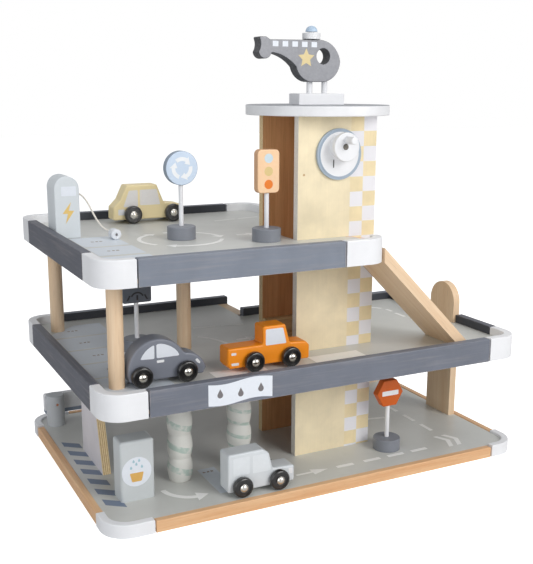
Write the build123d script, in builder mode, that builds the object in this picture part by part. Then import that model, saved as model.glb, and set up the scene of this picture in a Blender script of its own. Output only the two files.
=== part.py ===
"""Wooden toy parking garage: two railed decks on a base, a lift tower with a winding crank,
ramps, a car wash, signs, a charging column, four cars and a helicopter.

Frame: millimetres, origin at the middle of the base's underside.
+X runs along the front to the right, +Y to the back, +Z up.
"""

import math
import os

from build123d import *

os.makedirs("parts", exist_ok=True)

# ---- Clearances and dowel joints ---------------------------------------------------------
fit_gap = 0.2            # between glued pieces that pass through or beside each other
rest_gap = 0.2           # under a loose piece that stands on a deck
running_gap = 0.06       # round a pin or an axle that turns
slide_gap = 0.6          # round the lift platform
joint_gap = 1.6          # open joint between a corner block and its rail
pin_radius = 2.5
pin_length = 18
pin_gap = 0.05
edge_round = 1.2         # softened wood edges

# ---- Base --------------------------------------------------------------------------------
base_length = 500
base_depth = 336
base_corner_radius = 28
base_corner_height = 14
base_wall = 8.5          # from the outside of a corner block to its inside
base_strip_inset = 0.8
base_strip_height = 12
base_leg_left = 47       # corner blocks, along the front and back
base_leg_right = 39
base_leg_side = 40       # corner blocks, along the sides
base_board_top = 11
base_board_thickness = 9

# ---- Decks -------------------------------------------------------------------------------
middle_top = 133.5       # deck surfaces
upper_top = 259.5
middle_setback = 4       # of the middle deck's right end inside the base's
upper_length = 311
deck_setback = 2.5       # of the deck fronts behind the base front
deck_back_setback = 0.5
deck_corner_radius = 24
deck_wall = 10           # rails and corner blocks
rail_height = 26.5
rail_above_deck = 10
deck_thickness = 5
groove_depth = 4
groove_gap = 0.1
pin_above_rail_bottom = 5
middle_leg_long = 44
middle_leg_side = 42
upper_leg_left = 36.5
upper_leg_side = 50
upper_leg_exit_front = 53
upper_leg_exit_side = 25.5
upper_leg_back = 41
step_rail_y = 85.5       # inner face of the rail beside the open corner of the middle deck
step_rail_x = 10
landing_edge_x = 6       # where the middle deck ends at the back ramp
back_rail_x = 20         # right end of the middle deck's back rail

# ---- Tower -------------------------------------------------------------------------------
tower_x = 42.5
tower_y = -40
tower_width = 98
tower_depth = 93
tower_panel = 9
tower_top = 391
roof_radius = 80
roof_thickness = 11
guide_width = 10
guide_depth = 5
guide_top = 345

# ---- Lift and crank ----------------------------------------------------------------------
platform_thickness = 6
platform_back_height = 20
platform_back_thickness = 6
cord_boss_radius = 6
cord_boss_height = 6
lift_cord_radius = 1
crank_z = 350.4
crank_axle_radius = 4
crank_axle_in_back = 5
crank_disc_radius = 27.5
crank_disc_thickness = 3.5
crank_face_inset = 2.5
crank_knob_radius = 15.5
crank_knob_foot_radius = 13
crank_knob_height = 15
crank_knob_offset = 8.3
spool_radius = 8
spool_flange_radius = 12
spool_flange_thickness = 2.5
spool_length = 22

# ---- Supports and ramps ------------------------------------------------------------------
post_radius = 8
post_front_place = (30, 51.9)    # from the outside of the left and front rails
post_back_place = (29, 48.8)     # from the outside of the left and back rails
post_inner_place = (138.4, 148.6)
side_panel_inset = 33    # from the left end of the base
side_panel_thickness = 9
side_panel_back = 38
side_panel_foot_width = 79
side_panel_head_width = 42.7
arch_width = 47
arch_y = -35.3
arch_thickness = 9
arch_height = 171
exit_ramp_angle = 45
exit_ramp_thickness = 11
exit_ramp_drop = 3       # of the ramp's top edge below the upper deck
exit_ramp_front = -154.5
exit_ramp_width = 66.8
back_ramp_lip = 13
back_ramp_thickness = 9
back_ramp_end = 20       # from the right end of the base

# ---- Car wash, kiosk and barrier ---------------------------------------------------------
roller_places = [(-145, -84.8), (-75.7, -84.8)]
roller_waist_radius = 11.4
roller_bulge_radius = 13.6
roller_bulge_pitch = 26
roller_bulges = 4
roller_pin_radius = 4
kiosk_place = (48.5, 66.5)   # from the left end and the front of the base
kiosk_width = 35.8
kiosk_depth = 25
kiosk_height = 64
kiosk_edge = 3
barrier_place = (24.5, 36.5) # from the left end and the back of the base
barrier_post_radius = 11
barrier_post_height = 38.6
barrier_pin_radius = 3
barrier_pin_drop = 11    # below the top of the post
barrier_arm_length = 86
barrier_arm_height = 25
barrier_arm_thickness = 8
barrier_arm_behind = 10.4    # arm past its pin
barrier_arm_above = 7.5

# ---- Charging column ---------------------------------------------------------------------
charger_width = 27
charger_depth = 35
charger_height = 67.5
charger_inset = 11       # from the outside of the left rail
charger_front = 28
charger_edge = 1.2
charger_cord_radius = 1
nozzle_radius = 5.7
nozzle_length = 12
nozzle_bore_radius = 1.7
nozzle_bore_depth = 3
nozzle_place = (-181, -1)
cord_route = [           # from its hole in the column to its hole in the nozzle
    (-214, 45, 309.5), (-206.5, 40.5, 305.5), (-201.5, 34.5, 297), (-198, 29, 287),
    (-194, 25, 277), (-188, 22, 269), (-182.3, 17.3, 266), (-181, 9.6, 265.2)]

# ---- Signs -------------------------------------------------------------------------------
sign_base_radius = 15.5
sign_base_height = 14
sign_post_radius = 2.5
sign_post_in_base = 8
sign_post_in_head = 6
round_sign_place = (-115, -23)
round_sign_radius = 18.3
round_sign_centre = 76.5
square_sign_place = (-161, 0)
square_sign_width = 33
square_sign_height = 36
square_sign_centre = 73
stop_sign_place = (100.5, -112.3)
stop_sign_width = 39
stop_sign_centre = 72.5
traffic_light_place = (-37.5, -74)
traffic_light_width = 26
traffic_light_height = 46
traffic_light_centre = 74.5
traffic_light_corner = 5
sign_head_thickness = 9.5

# ---- Cars --------------------------------------------------------------------------------
car_body_width = 22
wheel_radius = 10.8
wheel_width = 7
wheel_round = 2.2
wheel_gap = 0.4
hub_recess_inner = 4.8
hub_recess_outer = 7.8
hub_recess_depth = 0.8
car_axle_radius = 1.5
car_axle_head_radius = 4.3
car_axle_head_height = 2.2
car_edge = 2.2
hatchback_x = -127.2     # left axles
hatchback_from_back = 48.6
hatchback_wheelbase = 51.2
hatchback_outline = [
    (-23.8, 4.5), (-23.2, 20), (-14.5, 28.5), (-6, 46), (32, 46), (41, 23.5), (60, 21.5),
    (65.5, 15), (65.5, 4.5)]
hatchback_corner = 2.5
coupe_from_left = 51.6
coupe_from_front = 53.4
coupe_wheelbase = 47
coupe_tail = (-12.4, 12)
coupe_sill = [(66, 5), (-11, 5)]
coupe_roof = [(19, 46.5), (44.5, 31)]
coupe_hood = [(47.5, 28.8), (61.5, 23.5), (69, 11)]
coupe_corner = 1.5
pickup_from_coupe = 120.5
pickup_from_front = 51.4
pickup_wheelbase = 42.6
pickup_outline = [
    (-25.5, 5), (-28.6, 9), (-28.6, 26.8), (11.6, 26.8), (11.6, 46), (37.5, 46), (43.2, 25.8),
    (62, 24.5), (66.6, 20), (66.6, 5)]
pickup_corner = 2.3
wagon_x = -103.8
wagon_from_front = 27.7
wagon_wheelbase = 41.9
wagon_outline = [
    (-14.6, 4.5), (-14.6, 46), (25, 46), (32, 40.5), (36.3, 23), (61.5, 22), (61.5, 4.5)]
wagon_corner = 2.5

# ---- Helicopter --------------------------------------------------------------------------
heli_x = 41.5
heli_stand_length = 57.5
heli_stand_depth = 24
heli_stand_height = 12
heli_leg_radius = 3.3
heli_leg_spacing = 19
heli_leg_length = 12.4
heli_leg_in_body = 6
heli_leg_in_stand = 7
heli_thickness = 16
heli_corner = 1.5
heli_edge = 1
heli_height = 44.6
heli_boom = [(-3, heli_height), (-62, 43.6), (-66.5, 46.4), (-75.5, 46.4)]
heli_tail_end = [(-73.3, 37.8), (-75.6, 31)]
heli_tail_tip = [(-70, 24), (-60.5, 30.2)]
heli_belly = [(-42, 24.7), (-30.5, 15.7)]
heli_chin = [(-24, 5), (-13, 0)]
heli_nose = [(1, 0), (19.5, 8), (24.9, 22)]
heli_brow = (15.5, 38.6)
heli_window = (3, 27.3)
heli_window_radius = 8.3
rotor_x = -7.9           # from the helicopter's middle
rotor_disc_radius = 10
rotor_disc_height = 6.8
rotor_gap = 0.6
rotor_shaft_radius = 1.6
rotor_shaft_depth = 8
rotor_neck_radius = 3
rotor_neck_height = 1.2
rotor_dome_radius = 6.6
rotor_dome_height = 6.4

# ---- Worked out from the sizes above -----------------------------------------------------
base_frame = (-base_length / 2, base_length / 2, -base_depth / 2, base_depth / 2)
deck_front = base_frame[2] + deck_setback
deck_back = base_frame[3] - deck_back_setback
deck_left = base_frame[0]
middle_right = base_frame[1] - middle_setback
upper_right = deck_left + upper_length
middle_frame = (deck_left, middle_right, deck_front, deck_back)
upper_frame = (deck_left, upper_right, deck_front, deck_back)
step_rail_back = step_rail_y + deck_wall

tower_left = tower_x - tower_width / 2
tower_right = tower_x + tower_width / 2
tower_front = tower_y - tower_depth / 2
tower_back = tower_y + tower_depth / 2
shaft_front = tower_front + tower_panel
shaft_back = tower_back - tower_panel
shaft_right = tower_right - tower_panel
roof_top = tower_top + roof_thickness

post_places = [(deck_left + post_front_place[0], deck_front + post_front_place[1]),
               (deck_left + post_back_place[0], deck_back - post_back_place[1]),
               (deck_left + post_inner_place[0], deck_front + post_inner_place[1])]
arch_right = base_frame[1] - base_wall - fit_gap
arch_left = arch_right - arch_thickness
arch_front = arch_y - arch_width / 2
arch_back = arch_y + arch_width / 2


# ---- Shared shapes -----------------------------------------------------------------------
def area(x_min, x_max, y_min, y_max, mode=Mode.ADD):
    """Rectangle between four coordinates of the sketch."""
    with Locations(((x_min + x_max) / 2, (y_min + y_max) / 2)):
        Rectangle(x_max - x_min, y_max - y_min, mode=mode)


def block(x_min, x_max, y_min, y_max, z_min, z_max, mode=Mode.ADD):
    """Box between six coordinates."""
    with Locations(((x_min + x_max) / 2, (y_min + y_max) / 2, (z_min + z_max) / 2)):
        Box(x_max - x_min, y_max - y_min, z_max - z_min, mode=mode)


def rounded_area(frame, inset, radius, mode=Mode.ADD):
    """Rounded rectangle, inset from a frame's outside."""
    x_min, x_max, y_min, y_max = frame
    with Locations(((x_min + x_max) / 2, (y_min + y_max) / 2)):
        RectangleRounded(x_max - x_min - 2 * inset, y_max - y_min - 2 * inset, radius, mode=mode)


def frame_ring(frame, inset, wall, radius):
    """Ring that a frame's rails and corner blocks are cut from, seen from above."""
    rounded_area(frame, inset, radius - inset)
    rounded_area(frame, wall, radius - wall, mode=Mode.SUBTRACT)


def corner_windows(frame, legs):
    """Windows on the frame's ring, one for each corner block: (x side, y side, leg x, leg y)."""
    x_min, x_max, y_min, y_max = frame
    windows = []
    for x_side, y_side, leg_x, leg_y in legs:
        xs = (x_min, x_min + leg_x) if x_side < 0 else (x_max - leg_x, x_max)
        ys = (y_min, y_min + leg_y) if y_side < 0 else (y_max - leg_y, y_max)
        windows.append(xs + ys)
    return windows


def joint_planes(frame, legs, inset, height, skipped=()):
    """Planes across the dowel joints at the ends of the corner blocks' legs."""
    x_min, x_max, y_min, y_max = frame
    planes = []
    for x_side, y_side, leg_x, leg_y in legs:
        corner_x = x_min if x_side < 0 else x_max
        corner_y = y_min if y_side < 0 else y_max
        along_x = corner_x - x_side * (leg_x + joint_gap / 2)
        along_y = corner_y - y_side * (leg_y + joint_gap / 2)
        if (x_side, y_side, "x") not in skipped:
            planes.append(Plane((along_x, corner_y - y_side * inset, height), z_dir=(1, 0, 0)))
        if (x_side, y_side, "y") not in skipped:
            planes.append(Plane((corner_x - x_side * inset, along_y, height), z_dir=(0, 1, 0)))
    return planes


def drill_joints(planes):
    """Dowel holes, cut into whatever piece of the frame they meet."""
    with Locations(*planes):
        Cylinder(pin_radius + pin_gap, pin_length + 2 * pin_gap, mode=Mode.SUBTRACT)


def middle_floor(gap):
    """The middle deck's floor as it sits in the grooves; a gap widens it to the groove."""
    inset = deck_wall - groove_depth - gap
    rounded_area(middle_frame, inset, deck_corner_radius - inset)
    notch_front = step_rail_y + groove_depth + gap
    area(landing_edge_x, middle_right, notch_front, deck_back, mode=Mode.SUBTRACT)


def upper_floor(gap):
    """The upper deck's floor as it sits in the grooves; a gap widens it to the groove."""
    inset = deck_wall - groove_depth - gap
    rounded_area(upper_frame, inset, deck_corner_radius - inset)


# ---- Base --------------------------------------------------------------------------------
base_legs = [(-1, -1, base_leg_left, base_leg_side), (1, -1, base_leg_right, base_leg_side),
             (-1, 1, base_leg_left, base_leg_side), (1, 1, base_leg_right, base_leg_side)]
base_pin_inset = (base_wall + base_strip_inset) / 2
base_joints = joint_planes(base_frame, base_legs, base_pin_inset, base_strip_height / 2)
strip_left = base_frame[0] + base_leg_left + joint_gap
strip_right = base_frame[1] - base_leg_right - joint_gap
strip_side = base_depth / 2 - base_leg_side - joint_gap

with BuildPart() as base_board:
    with BuildSketch(Plane.XY.offset(base_board_top - base_board_thickness)):
        rounded_area(base_frame, base_wall, base_corner_radius - base_wall)
    extrude(amount=base_board_thickness)
base_board.part.label = "base_board"

with BuildPart() as base_corners:
    for window in corner_windows(base_frame, base_legs):
        with BuildSketch():
            frame_ring(base_frame, 0, base_wall, base_corner_radius)
            area(*window, mode=Mode.INTERSECT)
        extrude(amount=base_corner_height)
    fillet(base_corners.edges().group_by(Axis.Z)[-1], edge_round)
    drill_joints(base_joints)
base_corners.part.label = "base_corners"

with BuildPart() as base_strips:
    strip_windows = [(strip_left, strip_right, base_frame[2], 0),
                     (strip_left, strip_right, 0, base_frame[3]),
                     (base_frame[0], 0, -strip_side, strip_side),
                     (0, base_frame[1], -strip_side, strip_side)]
    for window in strip_windows:
        with BuildSketch():
            frame_ring(base_frame, base_strip_inset, base_wall, base_corner_radius)
            area(*window, mode=Mode.INTERSECT)
        extrude(amount=base_strip_height)
    fillet(base_strips.edges().group_by(Axis.Z)[-1], edge_round)
    drill_joints(base_joints)
base_strips.part.label = "base_strips"

# ---- Middle deck -------------------------------------------------------------------------
middle_rail_bottom = middle_top + rail_above_deck - rail_height
middle_floor_bottom = middle_top - deck_thickness
middle_legs = [(-1, -1, middle_leg_long, middle_leg_side), (1, -1, middle_leg_long, middle_leg_side),
               (-1, 1, middle_leg_long, middle_leg_side)]
middle_joints = joint_planes(middle_frame, middle_legs, deck_wall / 2,
                             middle_rail_bottom + pin_above_rail_bottom)
middle_rail_left = deck_left + middle_leg_long + joint_gap
middle_rail_right = middle_right - middle_leg_long - joint_gap
middle_side_front = deck_front + middle_leg_side + joint_gap
middle_side_back = deck_back - middle_leg_side - joint_gap


def deck_rail(piece_name, windows, ring, bottom, floor, joints):
    """Rails of one deck: cut from its ring, edges softened, grooved for the floor and drilled."""
    with BuildPart() as rail:
        for window in windows:
            with BuildSketch(Plane.XY.offset(bottom)):
                frame_ring(ring, 0, deck_wall, deck_corner_radius)
                area(*window, mode=Mode.INTERSECT)
            extrude(amount=rail_height)
        fillet(rail.edges().group_by(Axis.Z)[-1], edge_round)
        deck_top = bottom + rail_height - rail_above_deck
        with BuildSketch(Plane.XY.offset(deck_top - deck_thickness - groove_gap)):
            floor(groove_gap)
        extrude(amount=deck_thickness + 2 * groove_gap, mode=Mode.SUBTRACT)
        drill_joints(joints)
    rail.part.label = piece_name
    return rail


middle_corners = deck_rail("middle_corners", corner_windows(middle_frame, middle_legs),
                           middle_frame, middle_rail_bottom, middle_floor, middle_joints)
middle_rail_front = deck_rail("middle_rail_front",
                              [(middle_rail_left, middle_rail_right, deck_front, 0)],
                              middle_frame, middle_rail_bottom, middle_floor, middle_joints)
middle_rail_side = deck_rail("middle_rail_left",
                             [(deck_left, 0, middle_side_front, middle_side_back)],
                             middle_frame, middle_rail_bottom, middle_floor, middle_joints)
middle_rails_right = deck_rail("middle_rails_right",
                               [(0, middle_right, middle_side_front, arch_front - fit_gap),
                                (0, middle_right, arch_back + fit_gap, step_rail_back)],
                               middle_frame, middle_rail_bottom, middle_floor, middle_joints)

with BuildPart() as middle_rails_back:
    with BuildSketch(Plane.XY.offset(middle_rail_bottom)):
        area(middle_rail_left, back_rail_x, deck_back - deck_wall, deck_back)
        area(step_rail_x, middle_right - deck_wall, step_rail_y, step_rail_back)
    extrude(amount=rail_height)
    fillet(middle_rails_back.edges().group_by(Axis.Z)[-1], edge_round)
    with BuildSketch(Plane.XY.offset(middle_floor_bottom - groove_gap)):
        middle_floor(groove_gap)
    extrude(amount=deck_thickness + 2 * groove_gap, mode=Mode.SUBTRACT)
    drill_joints(middle_joints)
middle_rails_back.part.label = "middle_rails_back"

with BuildPart() as middle_deck:
    with BuildSketch(Plane.XY.offset(middle_floor_bottom)):
        middle_floor(0)
        area(tower_left - fit_gap, tower_right + fit_gap, tower_front - fit_gap,
             tower_back + fit_gap, mode=Mode.SUBTRACT)
        area(arch_left - fit_gap, middle_right, arch_front - fit_gap, arch_back + fit_gap,
             mode=Mode.SUBTRACT)
    extrude(amount=deck_thickness)
middle_deck.part.label = "middle_deck"

# ---- Upper deck --------------------------------------------------------------------------
upper_rail_bottom = upper_top + rail_above_deck - rail_height
upper_floor_bottom = upper_top - deck_thickness
upper_legs = [(-1, -1, upper_leg_left, upper_leg_side),
              (1, -1, upper_leg_exit_front, upper_leg_exit_side),
              (-1, 1, upper_leg_left, upper_leg_side), (1, 1, upper_leg_back, upper_leg_side)]
upper_joints = joint_planes(upper_frame, upper_legs, deck_wall / 2,
                            upper_rail_bottom + pin_above_rail_bottom, skipped=[(1, -1, "y")])
upper_rail_left = deck_left + upper_leg_left + joint_gap
upper_side_front = deck_front + upper_leg_side + joint_gap
upper_side_back = deck_back - upper_leg_side - joint_gap
exit_front = deck_front + upper_leg_exit_side

upper_corners = deck_rail("upper_corners", corner_windows(upper_frame, upper_legs),
                          upper_frame, upper_rail_bottom, upper_floor, upper_joints)
upper_rail_front = deck_rail("upper_rail_front",
                             [(upper_rail_left, upper_right - upper_leg_exit_front - joint_gap,
                               deck_front, 0)],
                             upper_frame, upper_rail_bottom, upper_floor, upper_joints)
upper_rail_side = deck_rail("upper_rail_left",
                            [(deck_left, 0, upper_side_front, upper_side_back)],
                            upper_frame, upper_rail_bottom, upper_floor, upper_joints)
upper_rails_back = deck_rail("upper_rails_back",
                             [(upper_rail_left, upper_right - upper_leg_back - joint_gap,
                               0, deck_back),
                              (0, upper_right, tower_back + fit_gap, upper_side_back)],
                             upper_frame, upper_rail_bottom, upper_floor, upper_joints)

with BuildPart() as upper_deck:
    with BuildSketch(Plane.XY.offset(upper_floor_bottom)):
        upper_floor(0)
        area(upper_right - deck_wall, upper_right, exit_front + fit_gap, tower_front)
        area(tower_left - fit_gap, upper_right, tower_front - fit_gap, tower_back + fit_gap,
             mode=Mode.SUBTRACT)
    extrude(amount=deck_thickness)
upper_deck.part.label = "upper_deck"

with BuildPart() as dowel_pins:
    with Locations(*base_joints, *middle_joints, *upper_joints):
        Cylinder(pin_radius, pin_length)
dowel_pins.part.label = "dowel_pins"

# ---- Tower -------------------------------------------------------------------------------
with BuildPart() as tower_front_panel:
    block(tower_left, tower_right, tower_front, shaft_front, base_board_top, tower_top)
    with Locations(Plane((tower_x, (tower_front + shaft_front) / 2, crank_z), z_dir=(0, 1, 0))):
        Cylinder(crank_axle_radius + running_gap, tower_panel, mode=Mode.SUBTRACT)
tower_front_panel.part.label = "tower_front_panel"

with BuildPart() as tower_back_panel:
    block(tower_left, tower_right, shaft_back, tower_back, base_board_top, tower_top)
    with BuildSketch(Plane((tower_x, shaft_back, 0), x_dir=(1, 0, 0), z_dir=(0, -1, 0))):
        area(-guide_width / 2, guide_width / 2, base_board_top, guide_top - guide_width / 2)
        with Locations((0, guide_top - guide_width / 2)):
            Circle(guide_width / 2)
    extrude(amount=-guide_depth, mode=Mode.SUBTRACT)
    with Locations(Plane((tower_x, shaft_back, crank_z), z_dir=(0, 1, 0))):
        Cylinder(crank_axle_radius + running_gap, crank_axle_in_back,
                 align=(Align.CENTER, Align.CENTER, Align.MIN), mode=Mode.SUBTRACT)
tower_back_panel.part.label = "tower_back_panel"

with BuildPart() as tower_side_panel:
    block(shaft_right, tower_right, shaft_front, shaft_back, base_board_top, tower_top)
tower_side_panel.part.label = "tower_side_panel"

with BuildPart() as tower_roof:
    with BuildSketch(Plane.XY.offset(tower_top)):
        with Locations((tower_x, tower_y)):
            Circle(roof_radius)
    extrude(amount=roof_thickness)
    fillet(tower_roof.edges(), edge_round)
tower_roof.part.label = "tower_roof"

# ---- Lift --------------------------------------------------------------------------------
platform_left = tower_left + slide_gap
platform_right = shaft_right - slide_gap
platform_front = shaft_front + slide_gap
platform_back = shaft_back - slide_gap
lift_cord_x = tower_x - spool_radius - lift_cord_radius - fit_gap
cord_boss_top = middle_top + cord_boss_height

with BuildPart() as lift_platform:
    block(platform_left, platform_right, platform_front, platform_back,
          middle_top - platform_thickness, middle_top)
    block(platform_left, platform_right, platform_back - platform_back_thickness, platform_back,
          middle_top, middle_top + platform_back_height)
    block(tower_x - guide_width / 2 + slide_gap, tower_x + guide_width / 2 - slide_gap,
          platform_back, shaft_back + guide_depth - slide_gap,
          middle_top - platform_thickness, middle_top + platform_back_height)
    with Locations((lift_cord_x, tower_y, middle_top)):
        Cylinder(cord_boss_radius, cord_boss_height, align=(Align.CENTER, Align.CENTER, Align.MIN))
    boss_edges = lift_platform.edges().filter_by(GeomType.CIRCLE).group_by(Axis.Z)[-1]
    fillet(boss_edges, edge_round)
lift_platform.part.label = "lift_platform"

with BuildPart() as lift_cord:
    with Locations((lift_cord_x, tower_y, cord_boss_top)):
        Cylinder(lift_cord_radius, crank_z - cord_boss_top,
                 align=(Align.CENTER, Align.CENTER, Align.MIN))
lift_cord.part.label = "lift_cord"

# ---- Crank: its profiles are turned about the axle, which runs along Y -------------------
disc_back = tower_front - rest_gap
disc_front = disc_back - crank_disc_thickness
axle_end = shaft_back + crank_axle_in_back - slide_gap

with BuildPart() as winding_axle:
    with BuildSketch(Plane((tower_x, 0, crank_z), x_dir=(1, 0, 0), z_dir=(0, 0, 1))):
        area(0, crank_axle_radius, disc_back, axle_end)
        area(0, spool_radius, tower_y - spool_length / 2, tower_y + spool_length / 2)
        for side in (-1, 1):
            flange_y = tower_y + side * (spool_length - spool_flange_thickness) / 2
            with Locations((spool_flange_radius / 2, flange_y)):
                Rectangle(spool_flange_radius, spool_flange_thickness)
    revolve(axis=Axis((tower_x, 0, crank_z), (0, 1, 0)))
winding_axle.part.label = "winding_axle"

with BuildPart() as crank_disc:
    with Locations(Plane((tower_x, disc_back, crank_z), z_dir=(0, -1, 0))):
        Cylinder(crank_disc_radius, crank_disc_thickness - edge_round / 2,
                 align=(Align.CENTER, Align.CENTER, Align.MIN))
        Cylinder(crank_disc_radius - crank_face_inset, crank_disc_thickness,
                 align=(Align.CENTER, Align.CENTER, Align.MIN))
crank_disc.part.label = "crank_disc"

with BuildPart() as crank_knob:
    with BuildSketch(Plane((tower_x, disc_front, crank_z + crank_knob_offset), x_dir=(1, 0, 0),
                           z_dir=(0, 0, 1))):
        with BuildLine():
            Polyline((0, 0), (0, -crank_knob_height), (crank_knob_radius, -crank_knob_height))
            Line((crank_knob_radius, -crank_knob_height),
                 (crank_knob_radius, -crank_knob_height * 0.72))
            ThreePointArc((crank_knob_radius, -crank_knob_height * 0.72),
                          (crank_knob_foot_radius, -crank_knob_height * 0.4),
                          (crank_knob_foot_radius, 0))
            Line((crank_knob_foot_radius, 0), (0, 0))
        make_face()
    revolve(axis=Axis((tower_x, 0, crank_z + crank_knob_offset), (0, 1, 0)))
    fillet(crank_knob.edges().group_by(Axis.Y)[0], edge_round)
crank_knob.part.label = "crank_knob"

# ---- Supports and ramps ------------------------------------------------------------------
with BuildPart() as deck_posts:
    for x, y in post_places:
        with Locations((x, y, middle_top)):
            Cylinder(post_radius, upper_floor_bottom - middle_top,
                     align=(Align.CENTER, Align.CENTER, Align.MIN))
    for x, y in roller_places:
        with Locations((x, y, base_board_top)):
            Cylinder(roller_pin_radius, middle_floor_bottom - base_board_top,
                     align=(Align.CENTER, Align.CENTER, Align.MIN))
deck_posts.part.label = "deck_posts"

with BuildPart() as side_panel:
    with BuildSketch(Plane.YZ.offset(base_frame[0] + side_panel_inset)):
        Polygon((side_panel_back, base_board_top),
                (side_panel_back, middle_floor_bottom),
                (side_panel_back - side_panel_head_width, middle_floor_bottom),
                (side_panel_back - side_panel_foot_width, base_board_top), align=None)
    extrude(amount=side_panel_thickness)
side_panel.part.label = "side_panel"

with BuildPart() as arch_panel:
    arch_spring = base_board_top + arch_height - arch_width / 2
    with BuildSketch(Plane.YZ.offset(arch_left)):
        area(arch_front, arch_back, base_board_top, arch_spring)
        with Locations((arch_y, arch_spring)):
            Circle(arch_width / 2)
    extrude(amount=arch_thickness)
arch_panel.part.label = "arch_panel"

ramp_slope = math.radians(exit_ramp_angle)
ramp_x = upper_right + fit_gap
ramp_z = upper_top - exit_ramp_drop
ramp_toe = ramp_x + (ramp_z - middle_top) / math.tan(ramp_slope)
with BuildPart() as exit_ramp:
    with BuildSketch(Plane.XZ.offset(-exit_ramp_front)):
        Polygon((ramp_x, ramp_z), (ramp_toe, middle_top),
                (ramp_toe - exit_ramp_thickness / math.sin(ramp_slope), middle_top),
                (ramp_x, ramp_z - exit_ramp_thickness / math.cos(ramp_slope)), align=None)
    extrude(amount=-exit_ramp_width)
exit_ramp.part.label = "exit_ramp"

back_ramp_x = landing_edge_x + back_ramp_lip
back_ramp_end_x = base_frame[1] - back_ramp_end
back_slope = math.atan2(middle_top - base_board_top, back_ramp_end_x - back_ramp_x)
back_ramp_front = step_rail_back + fit_gap
back_ramp_back = deck_back - deck_wall - fit_gap
with BuildPart() as back_ramp:
    with BuildSketch(Plane.XZ.offset(-back_ramp_front)):
        Polygon((landing_edge_x, middle_top), (back_ramp_x, middle_top),
                (back_ramp_end_x, base_board_top),
                (back_ramp_end_x - back_ramp_thickness / math.sin(back_slope), base_board_top),
                (back_ramp_x - back_ramp_thickness * math.tan(back_slope / 2),
                 middle_top - back_ramp_thickness),
                (landing_edge_x, middle_top - back_ramp_thickness), align=None)
    extrude(amount=-(back_ramp_back - back_ramp_front))
back_ramp.part.label = "back_ramp"


# ---- Car wash rollers --------------------------------------------------------------------
def wash_roller(piece_name, place):
    """A turned roller of even bulges, free on its dowel."""
    x, y = place
    foot = base_board_top + rest_gap
    with BuildPart() as roller:
        with BuildSketch(Plane((x, y, foot), x_dir=(1, 0, 0), z_dir=(0, -1, 0))):
            with BuildLine():
                for i in range(roller_bulges):
                    z = i * roller_bulge_pitch
                    ThreePointArc((roller_waist_radius, z),
                                  (roller_bulge_radius, z + roller_bulge_pitch / 2),
                                  (roller_waist_radius, z + roller_bulge_pitch))
                bore = roller_pin_radius + running_gap
                head = roller_bulges * roller_bulge_pitch
                Polyline((roller_waist_radius, head), (bore, head), (bore, 0),
                         (roller_waist_radius, 0))
            make_face()
        revolve(axis=Axis((x, y, 0), (0, 0, 1)))
    roller.part.label = piece_name
    return roller


wash_roller_left = wash_roller("wash_roller_left", roller_places[0])
wash_roller_right = wash_roller("wash_roller_right", roller_places[1])

# ---- Kiosk and barrier -------------------------------------------------------------------
with BuildPart() as kiosk:
    kiosk_x = base_frame[0] + kiosk_place[0]
    with Locations((kiosk_x, base_frame[2] + kiosk_place[1], base_board_top)):
        Box(kiosk_width, kiosk_depth, kiosk_height, align=(Align.CENTER, Align.CENTER, Align.MIN))
    fillet(kiosk.edges().filter_by(Axis.Z) + kiosk.edges().group_by(Axis.Z)[-1], kiosk_edge)
kiosk.part.label = "kiosk"

barrier_x = base_frame[0] + barrier_place[0]
barrier_y = base_frame[3] - barrier_place[1]
barrier_top = base_board_top + barrier_post_height
barrier_pin_z = barrier_top - barrier_pin_drop
arm_front = barrier_y + barrier_post_radius + rest_gap
arm_back = arm_front + barrier_arm_thickness
pin_front = barrier_y - barrier_post_radius
barrier_pin_plane = Plane((barrier_x, pin_front, barrier_pin_z), z_dir=(0, 1, 0))

with BuildPart() as barrier_post:
    with Locations((barrier_x, barrier_y, base_board_top)):
        Cylinder(barrier_post_radius, barrier_post_height,
                 align=(Align.CENTER, Align.CENTER, Align.MIN))
    fillet(barrier_post.edges().group_by(Axis.Z)[-1], edge_round)
    with Locations(barrier_pin_plane):
        Cylinder(barrier_pin_radius + pin_gap, 2 * barrier_post_radius,
                 align=(Align.CENTER, Align.CENTER, Align.MIN), mode=Mode.SUBTRACT)
    with Locations(barrier_pin_plane):
        Cylinder(barrier_pin_radius, arm_back - pin_front,
                 align=(Align.CENTER, Align.CENTER, Align.MIN))
barrier_post.part.label = "barrier_post"

with BuildPart() as barrier_arm:
    arm_left = barrier_x - barrier_arm_behind
    arm_top = barrier_pin_z + barrier_arm_above
    block(arm_left, arm_left + barrier_arm_length, arm_front, arm_back,
          arm_top - barrier_arm_height, arm_top)
    fillet(barrier_arm.edges().filter_by(Axis.Y), 2 * edge_round)
    with Locations(barrier_pin_plane):
        Cylinder(barrier_pin_radius + running_gap, arm_back - pin_front,
                 align=(Align.CENTER, Align.CENTER, Align.MIN), mode=Mode.SUBTRACT)
barrier_arm.part.label = "barrier_arm"

# ---- Charging column, its cord and nozzle ------------------------------------------------
def drill_cord_seat(seat, outside):
    """The hole that one end of the cord is glued into, along the cord's own direction."""
    direction = Vector(*outside) - Vector(*seat)
    with Locations(Plane(seat, z_dir=direction)):
        Cylinder(charger_cord_radius + pin_gap, direction.length,
                 align=(Align.CENTER, Align.CENTER, Align.MIN), mode=Mode.SUBTRACT)


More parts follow.
